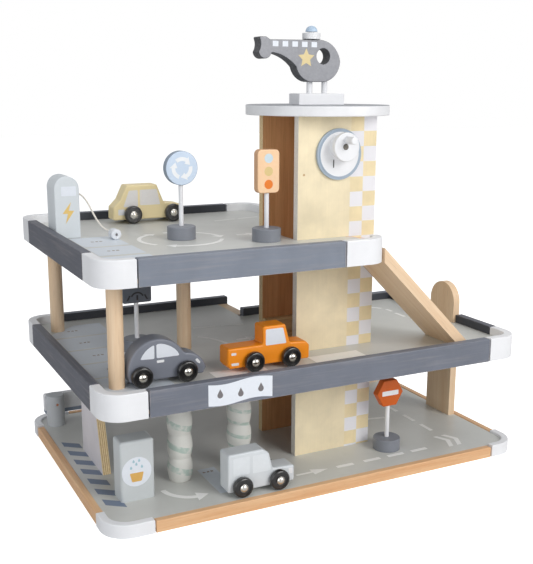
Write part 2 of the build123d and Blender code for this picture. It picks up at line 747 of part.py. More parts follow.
charger_left = deck_left + charger_inset
charger_right = charger_left + charger_width
with BuildPart() as charger:
    charger_shoulder = upper_top + charger_height - charger_width / 2
    with BuildSketch(Plane.XZ.offset(-charger_front)):
        area(charger_left, charger_right, upper_top, charger_shoulder)
        with Locations((charger_left + charger_width / 2, charger_shoulder)):
            Circle(charger_width / 2)
    extrude(amount=-charger_depth)
    rim_edges = charger.edges().group_by(Axis.Y)
    fillet(rim_edges[0] + rim_edges[-1], charger_edge)
    drill_cord_seat(cord_route[0], cord_route[1])
charger.part.label = "charger"

nozzle_x, nozzle_front = nozzle_place
with BuildPart() as charger_nozzle:
    nozzle_z = upper_top + pin_gap + nozzle_radius
    with Locations(Plane((nozzle_x, nozzle_front, nozzle_z), z_dir=(0, 1, 0))):
        Cylinder(nozzle_radius, nozzle_length, align=(Align.CENTER, Align.CENTER, Align.MIN))
        Cylinder(nozzle_bore_radius, nozzle_bore_depth,
                 align=(Align.CENTER, Align.CENTER, Align.MIN), mode=Mode.SUBTRACT)
    fillet(charger_nozzle.edges().group_by(Axis.Y)[0].sort_by(SortBy.RADIUS)[-1], edge_round)
    drill_cord_seat(cord_route[-1], cord_route[-2])
charger_nozzle.part.label = "charger_nozzle"


def bend_radii(route):
    """The largest arcs that a cord's runs allow, one for each corner of its route."""
    radii = []
    for before, corner, after in zip(route, route[1:], route[2:]):
        run_in = Vector(*corner) - Vector(*before)
        run_out = Vector(*after) - Vector(*corner)
        half_turn = math.radians(run_in.get_angle(run_out)) / 2
        radii.append(0.45 * min(run_in.length, run_out.length) / math.tan(half_turn))
    return radii


with BuildPart() as charger_cord:
    with BuildLine() as cord_path:
        FilletPolyline(*cord_route, radius=bend_radii(cord_route))
    with BuildSketch(Plane(cord_path.line @ 0, z_dir=cord_path.line % 0)):
        Circle(charger_cord_radius)
    sweep()
charger_cord.part.label = "charger_cord"
print("cord bend radii", [round(radius, 1) for radius in bend_radii(cord_route)])
cord_length = cord_path.wires()[0].length
cord_volume = math.pi * charger_cord_radius**2 * cord_length
print("cord length", round(cord_length, 1),
      "volume over section times length", round(charger_cord.part.volume / cord_volume, 4))


# ---- Signs -------------------------------------------------------------------------------
def sign_stand(piece_name, place, floor, head_bottom):
    """A turned foot with a thin post glued into it."""
    x, y = place
    foot = floor + rest_gap
    post_bottom = foot + sign_base_height - sign_post_in_base
    with BuildPart() as stand:
        with Locations((x, y, foot)):
            Cylinder(sign_base_radius, sign_base_height,
                     align=(Align.CENTER, Align.CENTER, Align.MIN))
        fillet(stand.edges().group_by(Axis.Z)[-1], edge_round)
        with Locations((x, y, post_bottom - pin_gap)):
            Cylinder(sign_post_radius + pin_gap, sign_post_in_base + pin_gap,
                     align=(Align.CENTER, Align.CENTER, Align.MIN), mode=Mode.SUBTRACT)
        with Locations((x, y, post_bottom)):
            Cylinder(sign_post_radius, head_bottom + sign_post_in_head - post_bottom,
                     align=(Align.CENTER, Align.CENTER, Align.MIN))
    stand.part.label = piece_name
    return stand


def sign_head(piece_name, place, centre, head_bottom, outline):
    """A sign's head: an outline with softened edges, bored for its post."""
    x, y = place
    with BuildPart() as head:
        with BuildSketch(Plane((x, y - sign_head_thickness / 2, centre), x_dir=(1, 0, 0),
                               z_dir=(0, -1, 0))):
            outline()
        extrude(amount=-sign_head_thickness)
        rims = head.edges().group_by(Axis.Y)
        fillet(rims[0] + rims[-1], edge_round)
        with Locations((x, y, head_bottom)):
            Cylinder(sign_post_radius + pin_gap, 2 * sign_post_in_head + pin_gap,
                     mode=Mode.SUBTRACT)
    head.part.label = piece_name
    return head


def round_outline():
    Circle(round_sign_radius)


def square_outline():
    RectangleRounded(square_sign_width, square_sign_height, 2 * edge_round)


def stop_outline():
    RegularPolygon(stop_sign_width / 2, 8, major_radius=False, rotation=22.5)


def traffic_light_outline():
    RectangleRounded(traffic_light_width, traffic_light_height, traffic_light_corner)


sign_kinds = [
    ("round_sign", round_sign_place, upper_top, round_sign_centre, round_sign_radius,
     round_outline),
    ("square_sign", square_sign_place, middle_top, square_sign_centre, square_sign_height / 2,
     square_outline),
    ("stop_sign", stop_sign_place, base_board_top, stop_sign_centre, stop_sign_width / 2,
     stop_outline),
    ("traffic_light", traffic_light_place, upper_top, traffic_light_centre,
     traffic_light_height / 2, traffic_light_outline)]
signs = []
for sign_name, place, floor, centre, half_height, outline in sign_kinds:
    head_bottom = floor + centre - half_height
    signs.append(sign_stand(sign_name + "_stand", place, floor, head_bottom))
    signs.append(sign_head(sign_name + "_head", place, floor + centre, head_bottom, outline))


# ---- Cars --------------------------------------------------------------------------------
def car_wheels(piece_name, axle_x, car_y, floor):
    """Two wheels on one axle with domed heads."""
    axle_z = floor + rest_gap + wheel_radius
    with BuildPart() as wheels:
        for side in (-1, 1):
            inner = car_body_width / 2 + wheel_gap
            outer = inner + wheel_width
            with BuildSketch(Plane((axle_x, car_y, axle_z), x_dir=(1, 0, 0),
                                   z_dir=(0, 0, -side))) as section:
                area(car_axle_radius + pin_gap, wheel_radius, inner, outer)
                rim = section.vertices().group_by(Axis.X)[-1]
                fillet(rim, wheel_round)
                area(hub_recess_inner, hub_recess_outer, outer - hub_recess_depth, outer,
                     mode=Mode.SUBTRACT)
            revolve(axis=Axis((axle_x, car_y, axle_z), (0, 1, 0)))
        with BuildSketch(Plane((axle_x, car_y, axle_z), x_dir=(1, 0, 0), z_dir=(0, 0, 1))):
            with BuildLine():
                head_y = car_body_width / 2 + wheel_gap + wheel_width + pin_gap
                Line((0, -head_y - car_axle_head_height), (0, head_y + car_axle_head_height))
                for side in (-1, 1):
                    tip = side * (head_y + car_axle_head_height)
                    RadiusArc((0, tip), (car_axle_head_radius, side * head_y),
                              side * (car_axle_head_radius**2 + car_axle_head_height**2)
                              / (2 * car_axle_head_height))
                    Line((car_axle_head_radius, side * head_y), (car_axle_radius, side * head_y))
                Line((car_axle_radius, -head_y), (car_axle_radius, head_y))
            make_face()
        revolve(axis=Axis((axle_x, car_y, axle_z), (0, 1, 0)), mode=Mode.ADD)
    wheels.part.label = piece_name
    return wheels


def drill_axles(place, wheelbase, floor):
    """The two axle holes through a car's body."""
    car_x, car_y = place
    for axle_x in (car_x, car_x + wheelbase):
        axle = Plane((axle_x, car_y, floor + rest_gap + wheel_radius), z_dir=(0, 1, 0))
        with Locations(axle):
            Cylinder(car_axle_radius + running_gap, car_body_width, mode=Mode.SUBTRACT)


def soften_sides(body):
    """Rounded edges on both sides of a car or the helicopter."""
    sides = body.edges().group_by(Axis.Y)
    fillet(sides[0] + sides[-1], car_edge)


def side_plane(place, floor, width):
    """Plane of a toy's front side, with its origin under the left axle on the deck."""
    return Plane((place[0], place[1] - width / 2, floor), x_dir=(1, 0, 0), z_dir=(0, -1, 0))


hatchback_place = (hatchback_x, deck_back - hatchback_from_back)
coupe_place = (deck_left + coupe_from_left, deck_front + coupe_from_front)
pickup_place = (coupe_place[0] + pickup_from_coupe, deck_front + pickup_from_front)
wagon_place = (wagon_x, base_frame[2] + wagon_from_front)

with BuildPart() as hatchback_body:
    with BuildSketch(side_plane(hatchback_place, upper_top, car_body_width)) as outline:
        with BuildLine():
            Polyline(*hatchback_outline, close=True)
        make_face()
        fillet(outline.vertices(), hatchback_corner)
    extrude(amount=-car_body_width)
    soften_sides(hatchback_body)
    drill_axles(hatchback_place, hatchback_wheelbase, upper_top)
hatchback_body.part.label = "hatchback_body"

with BuildPart() as coupe_body:
    with BuildSketch(side_plane(coupe_place, middle_top, car_body_width)) as outline:
        with BuildLine():
            Polyline(*coupe_sill, coupe_tail)
            ThreePointArc(coupe_tail, *coupe_roof)
            Line(coupe_roof[-1], coupe_hood[0])
            ThreePointArc(*coupe_hood)
            Line(coupe_hood[-1], coupe_sill[0])
        make_face()
        fillet(outline.vertices(), coupe_corner)
    extrude(amount=-car_body_width)
    soften_sides(coupe_body)
    drill_axles(coupe_place, coupe_wheelbase, middle_top)
coupe_body.part.label = "coupe_body"

with BuildPart() as pickup_body:
    with BuildSketch(side_plane(pickup_place, middle_top, car_body_width)) as outline:
        with BuildLine():
            Polyline(*pickup_outline, close=True)
        make_face()
        fillet(outline.vertices(), pickup_corner)
    extrude(amount=-car_body_width)
    soften_sides(pickup_body)
    drill_axles(pickup_place, pickup_wheelbase, middle_top)
pickup_body.part.label = "pickup_body"

with BuildPart() as wagon_body:
    with BuildSketch(side_plane(wagon_place, base_board_top, car_body_width)) as outline:
        with BuildLine():
            Polyline(*wagon_outline, close=True)
        make_face()
        fillet(outline.vertices(), wagon_corner)
    extrude(amount=-car_body_width)
    soften_sides(wagon_body)
    drill_axles(wagon_place, wagon_wheelbase, base_board_top)
wagon_body.part.label = "wagon_body"

car_kinds = [("hatchback", hatchback_place, hatchback_wheelbase, upper_top),
             ("coupe", coupe_place, coupe_wheelbase, middle_top),
             ("pickup", pickup_place, pickup_wheelbase, middle_top),
             ("wagon", wagon_place, wagon_wheelbase, base_board_top)]
wheelsets = []
for car_name, (car_x, car_y), wheelbase, floor in car_kinds:
    wheelsets.append(car_wheels(car_name + "_wheels_left", car_x, car_y, floor))
    wheelsets.append(car_wheels(car_name + "_wheels_right", car_x + wheelbase, car_y, floor))

# ---- Helicopter --------------------------------------------------------------------------
stand_bottom = roof_top + rest_gap
stand_top = stand_bottom + heli_stand_height
heli_bottom = stand_top + heli_leg_length
leg_sides = [heli_x - heli_leg_spacing / 2, heli_x + heli_leg_spacing / 2]
leg_places = [(x, tower_y, stand_top) for x in leg_sides]
leg_feet = [(x, tower_y, stand_top - heli_leg_in_stand) for x in leg_sides]

with BuildPart() as heli_stand:
    with Locations((heli_x, tower_y, stand_bottom)):
        Box(heli_stand_length, heli_stand_depth, heli_stand_height,
            align=(Align.CENTER, Align.CENTER, Align.MIN))
    fillet(heli_stand.edges().filter_by(Axis.Z) + heli_stand.edges().group_by(Axis.Z)[-1],
           edge_round)
    with Locations(*leg_places):
        Cylinder(heli_leg_radius + pin_gap, 2 * (heli_leg_in_stand + pin_gap),
                 mode=Mode.SUBTRACT)
    with Locations(*leg_feet):
        Cylinder(heli_leg_radius, heli_leg_in_stand + heli_leg_length + heli_leg_in_body,
                 align=(Align.CENTER, Align.CENTER, Align.MIN))
heli_stand.part.label = "heli_stand"

with BuildPart() as heli_body:
    with BuildSketch(side_plane((heli_x, tower_y), heli_bottom, heli_thickness)) as outline:
        with BuildLine():
            Polyline(*heli_boom)
            ThreePointArc(heli_boom[-1], *heli_tail_end)
            ThreePointArc(heli_tail_end[-1], *heli_tail_tip)
            ThreePointArc(heli_tail_tip[-1], *heli_belly)
            ThreePointArc(heli_belly[-1], *heli_chin)
            Line(heli_chin[-1], heli_nose[0])
            ThreePointArc(*heli_nose)
            ThreePointArc(heli_nose[-1], heli_brow, heli_boom[0])
        make_face()
        fillet(outline.vertices(), heli_corner)
        with Locations(heli_window):
            Circle(heli_window_radius, mode=Mode.SUBTRACT)
    extrude(amount=-heli_thickness)
    rims = heli_body.edges().group_by(Axis.Y)
    fillet(rims[0] + rims[-1], heli_edge)
    with Locations(*leg_places):
        Cylinder(heli_leg_radius + pin_gap, heli_leg_length + heli_leg_in_body + pin_gap,
                 align=(Align.CENTER, Align.CENTER, Align.MIN), mode=Mode.SUBTRACT)
    heli_top = heli_bottom + heli_height
    with Locations((heli_x + rotor_x, tower_y, heli_top)):
        Cylinder(rotor_shaft_radius + running_gap, 2 * (rotor_shaft_depth + rest_gap),
                 mode=Mode.SUBTRACT)
heli_body.part.label = "heli_body"

with BuildPart() as heli_rotor:
    disc_z = heli_top + rotor_gap
    with Locations((heli_x + rotor_x, tower_y, disc_z)):
        Cylinder(rotor_disc_radius, rotor_disc_height,
                 align=(Align.CENTER, Align.CENTER, Align.MIN))
    fillet(heli_rotor.edges(), edge_round / 2)
    with Locations((heli_x + rotor_x, tower_y, heli_top - rotor_shaft_depth)):
        Cylinder(rotor_shaft_radius, rotor_shaft_depth + rotor_gap,
                 align=(Align.CENTER, Align.CENTER, Align.MIN))
    with Locations((heli_x + rotor_x, tower_y, disc_z + rotor_disc_height)):
        Cylinder(rotor_neck_radius, rotor_neck_height,
                 align=(Align.CENTER, Align.CENTER, Align.MIN))
    with BuildSketch(Plane((heli_x + rotor_x, tower_y,
                            disc_z + rotor_disc_height + rotor_neck_height),
                           x_dir=(1, 0, 0), z_dir=(0, -1, 0))):
        with BuildLine():
            Polyline((rotor_dome_radius, 0), (0, 0), (0, rotor_dome_height))
            ThreePointArc((0, rotor_dome_height),
                          (rotor_dome_radius * 0.72, rotor_dome_height * 0.7),
                          (rotor_dome_radius, 0))
        make_face()
    revolve(axis=Axis((heli_x + rotor_x, tower_y, 0), (0, 0, 1)))
heli_rotor.part.label = "heli_rotor"

# ---- Files -------------------------------------------------------------------------------
pieces = [
    base_board, base_corners, base_strips,
    middle_deck, middle_corners, middle_rail_front, middle_rail_side, middle_rails_right,
    middle_rails_back, upper_deck, upper_corners, upper_rail_front, upper_rail_side,
    upper_rails_back, dowel_pins, deck_posts, side_panel, arch_panel, exit_ramp, back_ramp,
    tower_front_panel, tower_back_panel, tower_side_panel, tower_roof,
    lift_platform, lift_cord, winding_axle, crank_disc, crank_knob,
    wash_roller_left, wash_roller_right, kiosk, barrier_post, barrier_arm,
    charger, charger_cord, charger_nozzle, *signs,
    hatchback_body, coupe_body, pickup_body, wagon_body, *wheelsets,
    heli_stand, heli_body, heli_rotor]
for piece in pieces:
    export_step(piece.part, f"parts/{piece.part.label}.step")
print(len(pieces), "pieces written")
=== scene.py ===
import math

import bpy
from mathutils import Matrix, Vector


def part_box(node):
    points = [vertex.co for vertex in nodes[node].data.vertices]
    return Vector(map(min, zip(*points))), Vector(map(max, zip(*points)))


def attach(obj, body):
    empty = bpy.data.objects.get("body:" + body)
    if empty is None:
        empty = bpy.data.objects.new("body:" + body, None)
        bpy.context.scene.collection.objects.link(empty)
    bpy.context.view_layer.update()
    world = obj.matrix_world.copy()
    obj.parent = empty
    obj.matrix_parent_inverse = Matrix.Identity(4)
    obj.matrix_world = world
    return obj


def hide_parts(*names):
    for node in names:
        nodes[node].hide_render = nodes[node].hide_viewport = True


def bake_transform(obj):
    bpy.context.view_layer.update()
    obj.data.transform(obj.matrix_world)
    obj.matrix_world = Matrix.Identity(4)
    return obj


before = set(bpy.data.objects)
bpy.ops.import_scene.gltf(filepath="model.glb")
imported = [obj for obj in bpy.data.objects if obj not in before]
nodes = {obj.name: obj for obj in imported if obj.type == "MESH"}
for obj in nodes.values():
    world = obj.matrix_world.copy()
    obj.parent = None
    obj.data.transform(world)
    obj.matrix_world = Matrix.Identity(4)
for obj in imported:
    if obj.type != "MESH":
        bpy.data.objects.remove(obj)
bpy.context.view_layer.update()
mm = 0.001
print("frame loaded:", len(nodes), "nodes")


# camera, light and floor
camera = {
    "place": (-0.4609, -0.9154, 0.4180),
    "heading": 26.73,      # degrees clockwise from +Y
    "down": 12.33,
    "roll": 0.23,
    "lens": 56.65,
    "shiftY": 0.003,
}
cameraData = bpy.data.cameras.new("photoCamera")
cameraData.lens = camera["lens"]
cameraData.sensor_width = 36
cameraData.shift_y = camera["shiftY"]
cameraObject = bpy.data.objects.new("photoCamera", cameraData)
bpy.context.scene.collection.objects.link(cameraObject)
cameraObject.location = camera["place"]
aim = (Matrix.Rotation(math.radians(-camera["heading"]), 4, "Z")
       @ Matrix.Rotation(math.radians(90 - camera["down"]), 4, "X")
       @ Matrix.Rotation(math.radians(camera["roll"]), 4, "Z"))
cameraObject.rotation_euler = aim.to_euler()
bpy.context.scene.camera = cameraObject
bpy.context.scene.view_settings.view_transform = "Standard"

lamps = {
    "key": {"place": (0.7, -1.7, 1.05), "size": 1.1, "power": 21.5, "colour": (1, 0.99, 0.975)},
    "fill": {"place": (-1.6, -1.0, 0.8), "size": 1.6, "power": 11, "colour": (0.96, 0.98, 1)},
    "top": {"place": (0.1, 0.0, 1.9), "size": 1.6, "power": 7.5, "colour": (1, 1, 1)},
}
lightTarget = Vector((0, 0, 0.2))
for lampName, lamp in lamps.items():
    lampData = bpy.data.lights.new(lampName, "AREA")
    lampData.size = lamp["size"]
    lampData.energy = lamp["power"]
    lampData.color = lamp["colour"]
    lampObject = bpy.data.objects.new(lampName, lampData)
    bpy.context.scene.collection.objects.link(lampObject)
    lampObject.location = lamp["place"]
    lampObject.rotation_euler = (lightTarget - Vector(lamp["place"])).to_track_quat("-Z", "Y").to_euler()


# short ways to write shader nodes
def addNode(tree, kind, inputs=None, **settings):
    node = tree.nodes.new("ShaderNode" + kind)
    for key, value in settings.items():
        setattr(node, key, value)
    for key, value in (inputs or {}).items():
        if isinstance(value, bpy.types.NodeSocket):
            tree.links.new(value, node.inputs[key])
        else:
            node.inputs[key].default_value = value
    return node


def calc(tree, operation, first, second=0.0, clamp=False):
    return addNode(tree, "Math", {0: first, 1: second}, operation=operation, use_clamp=clamp).outputs[0]


def ramp(tree, value, low, high):
    return addNode(tree, "MapRange", {"Value": value, "From Min": low, "From Max": high}).outputs[0]


def blendColour(tree, factor, first, second, kind="MIX"):
    node = addNode(tree, "Mix", data_type="RGBA", blend_type=kind)
    for key, value in ((0, factor), (6, first), (7, second)):
        if isinstance(value, bpy.types.NodeSocket):
            tree.links.new(value, node.inputs[key])
        else:
            node.inputs[key].default_value = value
    return node.outputs[2]


def objectPoint(tree, scale=(1, 1, 1), offset=(0, 0, 0), turned=(0, 0, 0)):
    point = addNode(tree, "TexCoord").outputs["Object"]
    if turned != (0, 0, 0):
        point = addNode(tree, "Mapping", {"Vector": point, "Rotation": turned}).outputs[0]
    return addNode(tree, "Mapping", {"Vector": point, "Location": offset, "Scale": scale}).outputs[0]


def axisValue(tree, axis):
    parts = addNode(tree, "SeparateXYZ", {0: addNode(tree, "TexCoord").outputs["Object"]})
    return parts.outputs[axis]


def facing(tree, axis):
    parts = addNode(tree, "SeparateXYZ", {0: addNode(tree, "TexCoord").outputs["Normal"]})
    return parts.outputs[axis]


def noise(tree, point, scale, detail=3.0, rough=0.55):
    return addNode(tree, "TexNoise", {"Vector": point, "Scale": scale, "Detail": detail,
                                      "Roughness": rough}).outputs["Fac"]


def colour(red, green, blue):
    linear = [(c / 255 / 12.92) if c <= 10 else ((c / 255 + 0.055) / 1.055) ** 2.4
              for c in (red, green, blue)]
    return (*linear, 1.0)


def newMaterial(name):
    material = bpy.data.materials.new(name)
    material.use_nodes = True
    return material, material.node_tree, material.node_tree.nodes["Principled BSDF"]


# the grain runs along one axis, or along "frame": X on front and back pieces, Y on side pieces
grainStretch = {"X": (7, 170, 170), "Y": (170, 7, 170), "Z": (170, 170, 7)}


def grainPoint(tree, along, offset=(0, 0, 0), turned=(0, 0, 0), sideLimit=0.128):
    if along != "frame":
        return objectPoint(tree, grainStretch[along], offset, turned)
    sideways = calc(tree, "LESS_THAN", calc(tree, "ABSOLUTE", axisValue(tree, 1)), sideLimit)
    node = addNode(tree, "Mix", data_type="VECTOR")
    tree.links.new(sideways, node.inputs[0])
    tree.links.new(objectPoint(tree, grainStretch["X"], offset), node.inputs[4])
    tree.links.new(objectPoint(tree, grainStretch["Y"], offset), node.inputs[5])
    return node.outputs[1]


def edgeMask(tree, radius):
    rounded = addNode(tree, "Bevel", {"Radius": radius}, samples=4).outputs[0]
    straight = addNode(tree, "NewGeometry").outputs["Normal"]
    match = addNode(tree, "VectorMath", {0: rounded, 1: straight}, operation="DOT_PRODUCT").outputs["Value"]
    return ramp(tree, match, 0.995, 0.93)


def surfaceBump(tree, shader, height, strength, distance):
    bump = addNode(tree, "Bump", {"Strength": strength, "Distance": distance, "Height": height})
    tree.links.new(bump.outputs[0], shader.inputs["Normal"])


# how strongly a brushed coat and the wood under it show
brush = {"mottle": 38, "streaks": 3.0, "streakGain": 1.6, "streakShade": 0.72, "fibres": 5.0,
         "fibreDepth": 0.4 * mm, "edgeWidth": 1.1 * mm, "edgeSpeckle": 120}


def shade(tint, share):
    return (*(min(1, c * share) for c in tint[:3]), 1)


def brushFinish(tree, shader, grain, rough, bump, spread=0.16):
    fibres = noise(tree, grain, brush["fibres"], 4, 0.6)
    tree.links.new(calc(tree, "ADD", calc(tree, "MULTIPLY", fibres, spread), rough),
                   shader.inputs["Roughness"])
    surfaceBump(tree, shader, fibres, bump, brush["fibreDepth"])


def evenFinish(tree, shader, grain, rough, bump):
    shader.inputs["Roughness"].default_value = rough
    surfaceBump(tree, shader, noise(tree, grain, brush["fibres"], 4), bump, brush["fibreDepth"])


def paintedColour(tree, tint, grain, strength=0.06):
    mottled = ramp(tree, noise(tree, objectPoint(tree), brush["mottle"], 3), 0.3, 0.7)
    shaded = blendColour(tree, mottled, shade(tint, 1 - strength), shade(tint, 1 + strength))
    streaks = ramp(tree, noise(tree, grain, brush["streaks"], 5, 0.65), 0.35, 0.75)
    return blendColour(tree, calc(tree, "MULTIPLY", streaks, strength * brush["streakGain"]), shaded,
                       shade(tint, brush["streakShade"]))


def paintedWood(name, tint, along="X", wear=None, rough=0.5, offset=(0, 0, 0), strength=0.06, bump=0.12):
    material, tree, shader = newMaterial(name)
    grain = grainPoint(tree, along, offset)
    tone = paintedColour(tree, tint, grain, strength)
    if wear:
        broken = ramp(tree, noise(tree, objectPoint(tree), brush["edgeSpeckle"], 3), 0.42, 0.62)
        worn = calc(tree, "MULTIPLY", edgeMask(tree, brush["edgeWidth"]), broken)
        tone = blendColour(tree, worn, tone, wear)
    tree.links.new(tone, shader.inputs["Base Color"])
    brushFinish(tree, shader, grain, rough - 0.08, bump)
    return material


wood = {"fine": 2.4, "fineShare": 0.55, "broad": 0.55, "broadShare": 0.45, "pores": 9.0, "poreStrength": 0.35,
        "poreShade": 0.55, "coat": 0.08, "coatRough": 0.35}


def woodColour(tree, light, dark, grain):
    fine = calc(tree, "MULTIPLY", noise(tree, grain, wood["fine"], 6, 0.62), wood["fineShare"])
    broad = calc(tree, "MULTIPLY", noise(tree, grain, wood["broad"], 3), wood["broadShare"])
    base = blendColour(tree, ramp(tree, calc(tree, "ADD", fine, broad), 0.36, 0.66), light, dark)
    pores = ramp(tree, noise(tree, grain, wood["pores"], 2, 0.5), 0.62, 0.74)
    return blendColour(tree, calc(tree, "MULTIPLY", pores, wood["poreStrength"]), base,
                       shade(dark, wood["poreShade"]))


def naturalWood(name, light, dark, along="X", offset=(0, 0, 0), turned=(0, 0, 0), rough=0.48):
    material, tree, shader = newMaterial(name)
    grain = grainPoint(tree, along, offset, turned)
    tree.links.new(woodColour(tree, light, dark, grain), shader.inputs["Base Color"])
    brushFinish(tree, shader, grain, rough - 0.1, 0.16, 0.2)
    shader.inputs["Coat Weight"].default_value = wood["coat"]
    shader.inputs["Coat Roughness"].default_value = wood["coatRough"]
    return material


def plyEdges(tree, axis, light, dark, ply=1.9 * mm):
    place = axisValue(tree, axis)
    wobble = calc(tree, "MULTIPLY", noise(tree, objectPoint(tree), 60, 2), 0.4 * mm)
    phase = calc(tree, "FRACT", calc(tree, "DIVIDE", calc(tree, "ADD", place, wobble), ply))
    glue = ramp(tree, calc(tree, "ABSOLUTE", calc(tree, "SUBTRACT", phase, 0.5)), 0.3, 0.12)
    speck = ramp(tree, noise(tree, objectPoint(tree), 500, 3), 0.35, 0.7)
    worn = calc(tree, "ADD", calc(tree, "MULTIPLY", glue, 0.75), calc(tree, "MULTIPLY", speck, 0.25))
    return blendColour(tree, worn, light, dark)


# printed marks: a flat curve filled and made a thin mesh
printThickness = 0.14 * mm


def rectangle(left, right, low, high):
    return [(left, low), (right, low), (right, high), (left, high)]


def disc(x, y, radius, count=56):
    return [(x + radius * math.cos(2 * math.pi * i / count), y + radius * math.sin(2 * math.pi * i / count))
            for i in range(count)]


def softened(points, radius, steps=5):
    rounded = []
    for i, corner in enumerate(points):
        here = Vector(corner)
        before = Vector(points[i - 1]) - here
        after = Vector(points[(i + 1) % len(points)]) - here
        reach = min(radius, before.length * 0.45, after.length * 0.45)
        start = here + before.normalized() * reach
        end = here + after.normalized() * reach
        for k in range(steps + 1):
            t = k / steps
            rounded.append(tuple(start * (1 - t) ** 2 + here * 2 * t * (1 - t) + end * t ** 2))
    return rounded


def arcBand(x, y, radius, width, start, end, head=0.0, count=26):
    angles = [math.radians(start + (end - start) * i / count) for i in range(count + 1)]
    outer = [(x + (radius + width / 2) * math.cos(a), y + (radius + width / 2) * math.sin(a)) for a in angles]
    inner = [(x + (radius - width / 2) * math.cos(a), y + (radius - width / 2) * math.sin(a)) for a in angles]
    tip = []
    if head:
        last = angles[-1]
        sense = 1 if end > start else -1
        point = last + sense * head * 1.5 / radius
        tip = [(x + (radius + head) * math.cos(last), y + (radius + head) * math.sin(last)),
               (x + radius * math.cos(point), y + radius * math.sin(point)),
               (x + (radius - head) * math.cos(last), y + (radius - head) * math.sin(last))]
    return outer + tip + inner[::-1]


def dashes(start, end, count, width, share=0.62):
    begin, finish = Vector(start), Vector(end)
    step = (finish - begin) / count
    side = Vector((-step.y, step.x)).normalized() * width / 2
    shapes = []
    for i in range(count):
        a = begin + step * i
        b = a + step * share
        shapes.append([tuple(a - side), tuple(b - side), tuple(b + side), tuple(a + side)])
    return shapes


def star(x, y, outer, inner):
    return [(x + (outer if i % 2 == 0 else inner) * math.sin(math.pi * i / 5),
             y + (outer if i % 2 == 0 else inner) * math.cos(math.pi * i / 5)) for i in range(10)]


def topPlane(z):
    return Matrix.Translation((0, 0, z + printThickness / 2))


def frontPlane(y, outward=-1):
    return Matrix(((1, 0, 0, 0), (0, 0, -1, y + outward * printThickness / 2), (0, 1, 0, 0), (0, 0, 0, 1)))


def printShapes(name, shapes, plane, body, material):
    outline = bpy.data.curves.new(name, "CURVE")
    outline.dimensions = "2D"
    outline.fill_mode = "BOTH"
    outline.extrude = printThickness / 2
    for shape in shapes:
        spline = outline.splines.new("POLY")
        spline.points.add(len(shape) - 1)
        for point, place in zip(spline.points, shape):
            point.co = (place[0] * mm, place[1] * mm, 0, 1)
        spline.use_cyclic_u = True
    piece = bpy.data.objects.new(name, outline)
    bpy.context.scene.collection.objects.link(piece)
    bpy.ops.object.select_all(action="DESELECT")
    piece.select_set(True)
    bpy.context.view_layer.objects.active = piece
    bpy.ops.object.convert(target="MESH")
    piece = bpy.context.view_layer.objects.active
    piece.data.transform(plane)
    piece.data.materials.clear()
    piece.data.materials.append(material)
    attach(piece, body)
    return piece


def ink(name, tint, rough=0.42, strength=0.05):
    material, tree, shader = newMaterial(name)
    worn = ramp(tree, noise(tree, objectPoint(tree), 260, 4, 0.6), 0.25, 0.8)
    tree.links.new(blendColour(tree, worn, shade(tint, 1 - strength), tint), shader.inputs["Base Color"])
    tree.links.new(calc(tree, "ADD", calc(tree, "MULTIPLY", worn, 0.1), rough), shader.inputs["Roughness"])
    return material


# the cord of the charging column
chargerCord = {
    "route": [(-214, 45, 309.5), (-206.5, 40.5, 305.5), (-201.5, 34.5, 297), (-198, 29, 287),
              (-194, 25, 277), (-188, 22, 269), (-182.3, 17.3, 266), (-181, 9.6, 265.2)],
    "radius": 1.0,
    "length": 70.1,
    "cotton": colour(240, 234, 224),
}


def makeCord():
    route = bpy.data.curves.new("chargerCordLine", "CURVE")
    route.dimensions = "3D"
    route.bevel_depth = chargerCord["radius"] * mm
    route.bevel_resolution = 4
    route.resolution_u = 16
    route.use_fill_caps = True
    spline = route.splines.new("NURBS")
    spline.points.add(len(chargerCord["route"]) - 1)
    for point, place in zip(spline.points, chargerCord["route"]):
        point.co = (place[0] * mm, place[1] * mm, place[2] * mm, 1)
    spline.order_u = 3
    spline.use_endpoint_u = True
    piece = bpy.data.objects.new("chargerCordBraid", route)
    bpy.context.scene.collection.objects.link(piece)
    route.materials.append(braidedCotton("chargerCotton", chargerCord["cotton"]))
    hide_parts("charger_cord")
    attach(piece, "garage")


def braidedCotton(name, tint):
    material, tree, shader = newMaterial(name)
    point = objectPoint(tree)
    strands = addNode(tree, "TexWave", {"Vector": point, "Scale": 420, "Distortion": 3.0, "Detail": 2.0,
                                        "Detail Scale": 3.0}, bands_direction="DIAGONAL").outputs["Fac"]
    fuzz = noise(tree, point, 1900, 3)
    weave = calc(tree, "ADD", calc(tree, "MULTIPLY", strands, 0.6), calc(tree, "MULTIPLY", fuzz, 0.4))
    tree.links.new(blendColour(tree, weave, shade(tint, 0.8), tint), shader.inputs["Base Color"])
    shader.inputs["Roughness"].default_value = 0.85
    shader.inputs["Sheen Weight"].default_value = 0.3
    surfaceBump(tree, shader, weave, 0.5, 0.2 * mm)
    return material


makeCord()
print("cord made")

